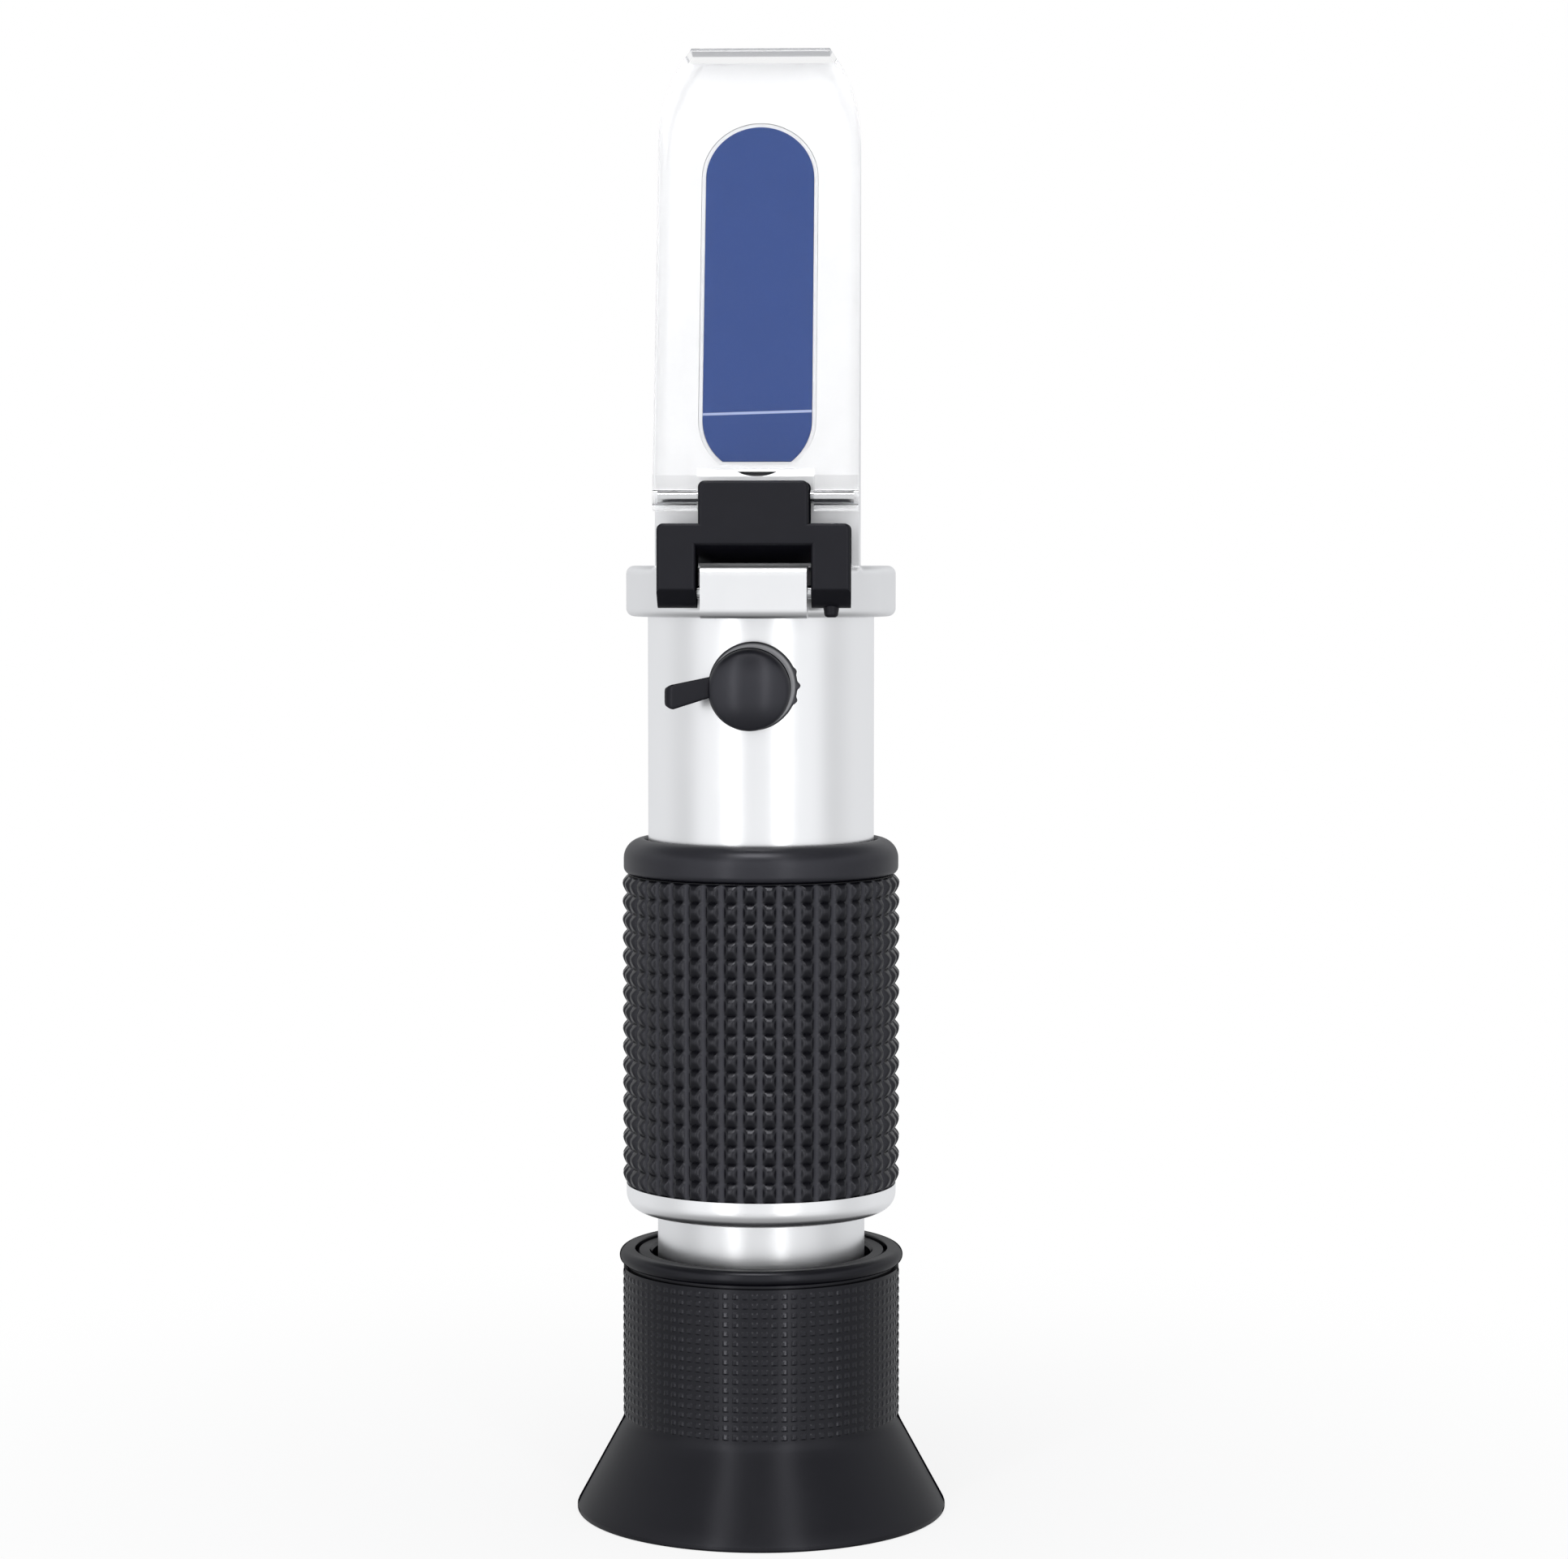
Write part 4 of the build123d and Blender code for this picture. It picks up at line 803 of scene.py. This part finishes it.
# Surroundings: white where the camera looks at them, and nearly so through clear plastic. Metal
# mirrors a grey studio whose walls turn lighter and darker with the angle from the front, which gives
# the round tubes their soft bands. Its ground and ceiling are dark, with a white belt under the latter.
wall_greys = (
    (0.0, 0.9), (0.08, 0.72), (0.17, 0.72), (0.26, 0.93), (0.34, 0.93),
    (0.41, 0.66), (0.48, 0.66), (0.6, 0.78), (1.0, 0.76),
)
height_greys = (
    (0.0, 0.3, 1), (0.15, 0.35, 1), (0.36, 0.7, 0), (0.56, 0.94, 0),
    (0.7, 0.94, 0.8), (0.77, 0.88, 0.8), (0.82, 0.25, 0.9), (1.0, 0.25, 1),
)
light_level = 0.52
plastic_loss = 0.09
cool_white = (0.99, 1.0, 1.02)


def grey_ramp(tree, value, stops):
    """A ramp through (position, grey, alpha) stops, each grey made slightly cool; returns its node."""
    node = tree.nodes.new("ShaderNodeValToRGB")
    ramp = node.color_ramp.elements
    for position, *_ in stops[1:-1]:
        ramp.new(position)
    for element, (position, grey, alpha) in zip(ramp, stops):
        element.position = position
        element.color = (*(grey * share for share in cool_white), alpha)
    tree.links.new(value, node.inputs[0])
    return node


def studio_world():
    """Light grey for lighting. For reflections, a grey that follows the angle from the front, as
    |arctan(x / -y)| / pi, laid over by a second grey that follows the height, from -1 to 1, as far as
    that one's alpha says."""
    world = bpy.data.worlds.new("studio")
    bpy.context.scene.world = world
    world.use_nodes = True
    tree = world.node_tree
    link = tree.links.new
    plain = tree.nodes["Background"]
    plain.inputs["Color"].default_value = (*cool_white, 1)
    plain.inputs["Strength"].default_value = light_level
    place = tree.nodes.new("ShaderNodeTexCoord")
    split = tree.nodes.new("ShaderNodeSeparateXYZ")
    link(place.outputs["Generated"], split.inputs[0])
    ahead = work_out(tree, "MULTIPLY", split.outputs["Y"], -1)
    angle = work_out(tree, "ABSOLUTE", work_out(tree, "ARCTAN2", split.outputs["X"], ahead))
    turns = work_out(tree, "DIVIDE", angle, math.pi)
    walls = grey_ramp(tree, turns, [(position, grey, 1) for position, grey in wall_greys])
    height = tree.nodes.new("ShaderNodeMapRange")
    height.inputs["From Min"].default_value = -1
    height.inputs["From Max"].default_value = 1
    link(split.outputs["Z"], height.inputs["Value"])
    levels = grey_ramp(tree, height.outputs[0], height_greys)
    studio = tree.nodes.new("ShaderNodeMix")
    studio.data_type = "RGBA"
    link(levels.outputs["Alpha"], studio.inputs["Factor"])
    link(walls.outputs["Color"], studio.inputs["A"])
    link(levels.outputs["Color"], studio.inputs["B"])
    mirrored = tree.nodes.new("ShaderNodeBackground")
    link(studio.outputs["Result"], mirrored.inputs["Color"])
    rays = tree.nodes.new("ShaderNodeLightPath")
    through = rays.outputs["Is Transmission Ray"]
    white = tree.nodes.new("ShaderNodeBackground")
    white.inputs["Color"].default_value = (1, 1, 1, 1)
    link(work_out(tree, "MULTIPLY_ADD", through, -plastic_loss, 1), white.inputs["Strength"])
    unseen = tree.nodes.new("ShaderNodeMixShader")
    link(rays.outputs["Is Glossy Ray"], unseen.inputs["Fac"])
    link(plain.outputs[0], unseen.inputs[1])
    link(mirrored.outputs[0], unseen.inputs[2])
    shown = tree.nodes.new("ShaderNodeMixShader")
    link(work_out(tree, "MAXIMUM", rays.outputs["Is Camera Ray"], through), shown.inputs["Fac"])
    link(unseen.outputs[0], shown.inputs[1])
    link(white.outputs[0], shown.inputs[2])
    link(shown.outputs[0], tree.nodes["World Output"].inputs["Surface"])


studio_world()

# Camera: level with the upper barrel, a little to the right of the front, looking slightly down. Its
# reach and height in millimetres and its focal length in pixels were fitted to the curved rims.
camera_reach = 420.0
camera_height = 107.0
camera_side = 2.6
aim_right, aim_down = 0.35, 3.385
image_width = 1932
focal_pixels = 4641

camera_data = bpy.data.cameras.new("camera")
camera_data.sensor_width = 36
camera_data.lens = camera_data.sensor_width * focal_pixels / image_width
camera_data.clip_start = 0.01
camera_data.clip_end = 50
camera = bpy.data.objects.new("camera", camera_data)
bpy.context.scene.collection.objects.link(camera)
side, reach = math.radians(camera_side), camera_reach * MM
camera.location = (reach * math.sin(side), -reach * math.cos(side), camera_height * MM)
camera.rotation_euler = (math.radians(90 - aim_down), 0, math.radians(camera_side - aim_right))
bpy.context.scene.camera = camera

# Lamps: two tall soft boxes, one either side of the camera, draw the bright lines on the tubes and
# the rubber, and a broad one overhead lights the whole.
lamp_aim = 0.08


def soft_box(name, turn, reach, height, width, length, level):
    """A soft box aimed at the tube from a turn off the front, in metres. Its level is the white that it
    gives at the tube: power = level . pi^2 . distance^2."""
    lamp = bpy.data.lights.new(name, "AREA")
    lamp.shape = "RECTANGLE"
    lamp.size = width
    lamp.size_y = length
    angle = math.radians(turn)
    place = Vector((reach * math.sin(angle), -reach * math.cos(angle), height))
    aim = Vector((0, 0, lamp_aim)) - place
    lamp.energy = level * math.pi**2 * aim.length_squared
    box = bpy.data.objects.new(name, lamp)
    box.location = place
    box.rotation_mode = "QUATERNION"
    box.rotation_quaternion = aim.to_track_quat("-Z", "Y")
    bpy.context.scene.collection.objects.link(box)


for name, turn in (("left_box", -27.0), ("right_box", 24.0)):
    soft_box(name, turn, reach=0.8, height=0.3, width=0.07, length=1.6, level=0.19)
soft_box("top_box", -8.0, reach=0.35, height=1.1, width=0.42, length=0.38, level=0.3)

bpy.context.scene.view_settings.view_transform = "Standard"
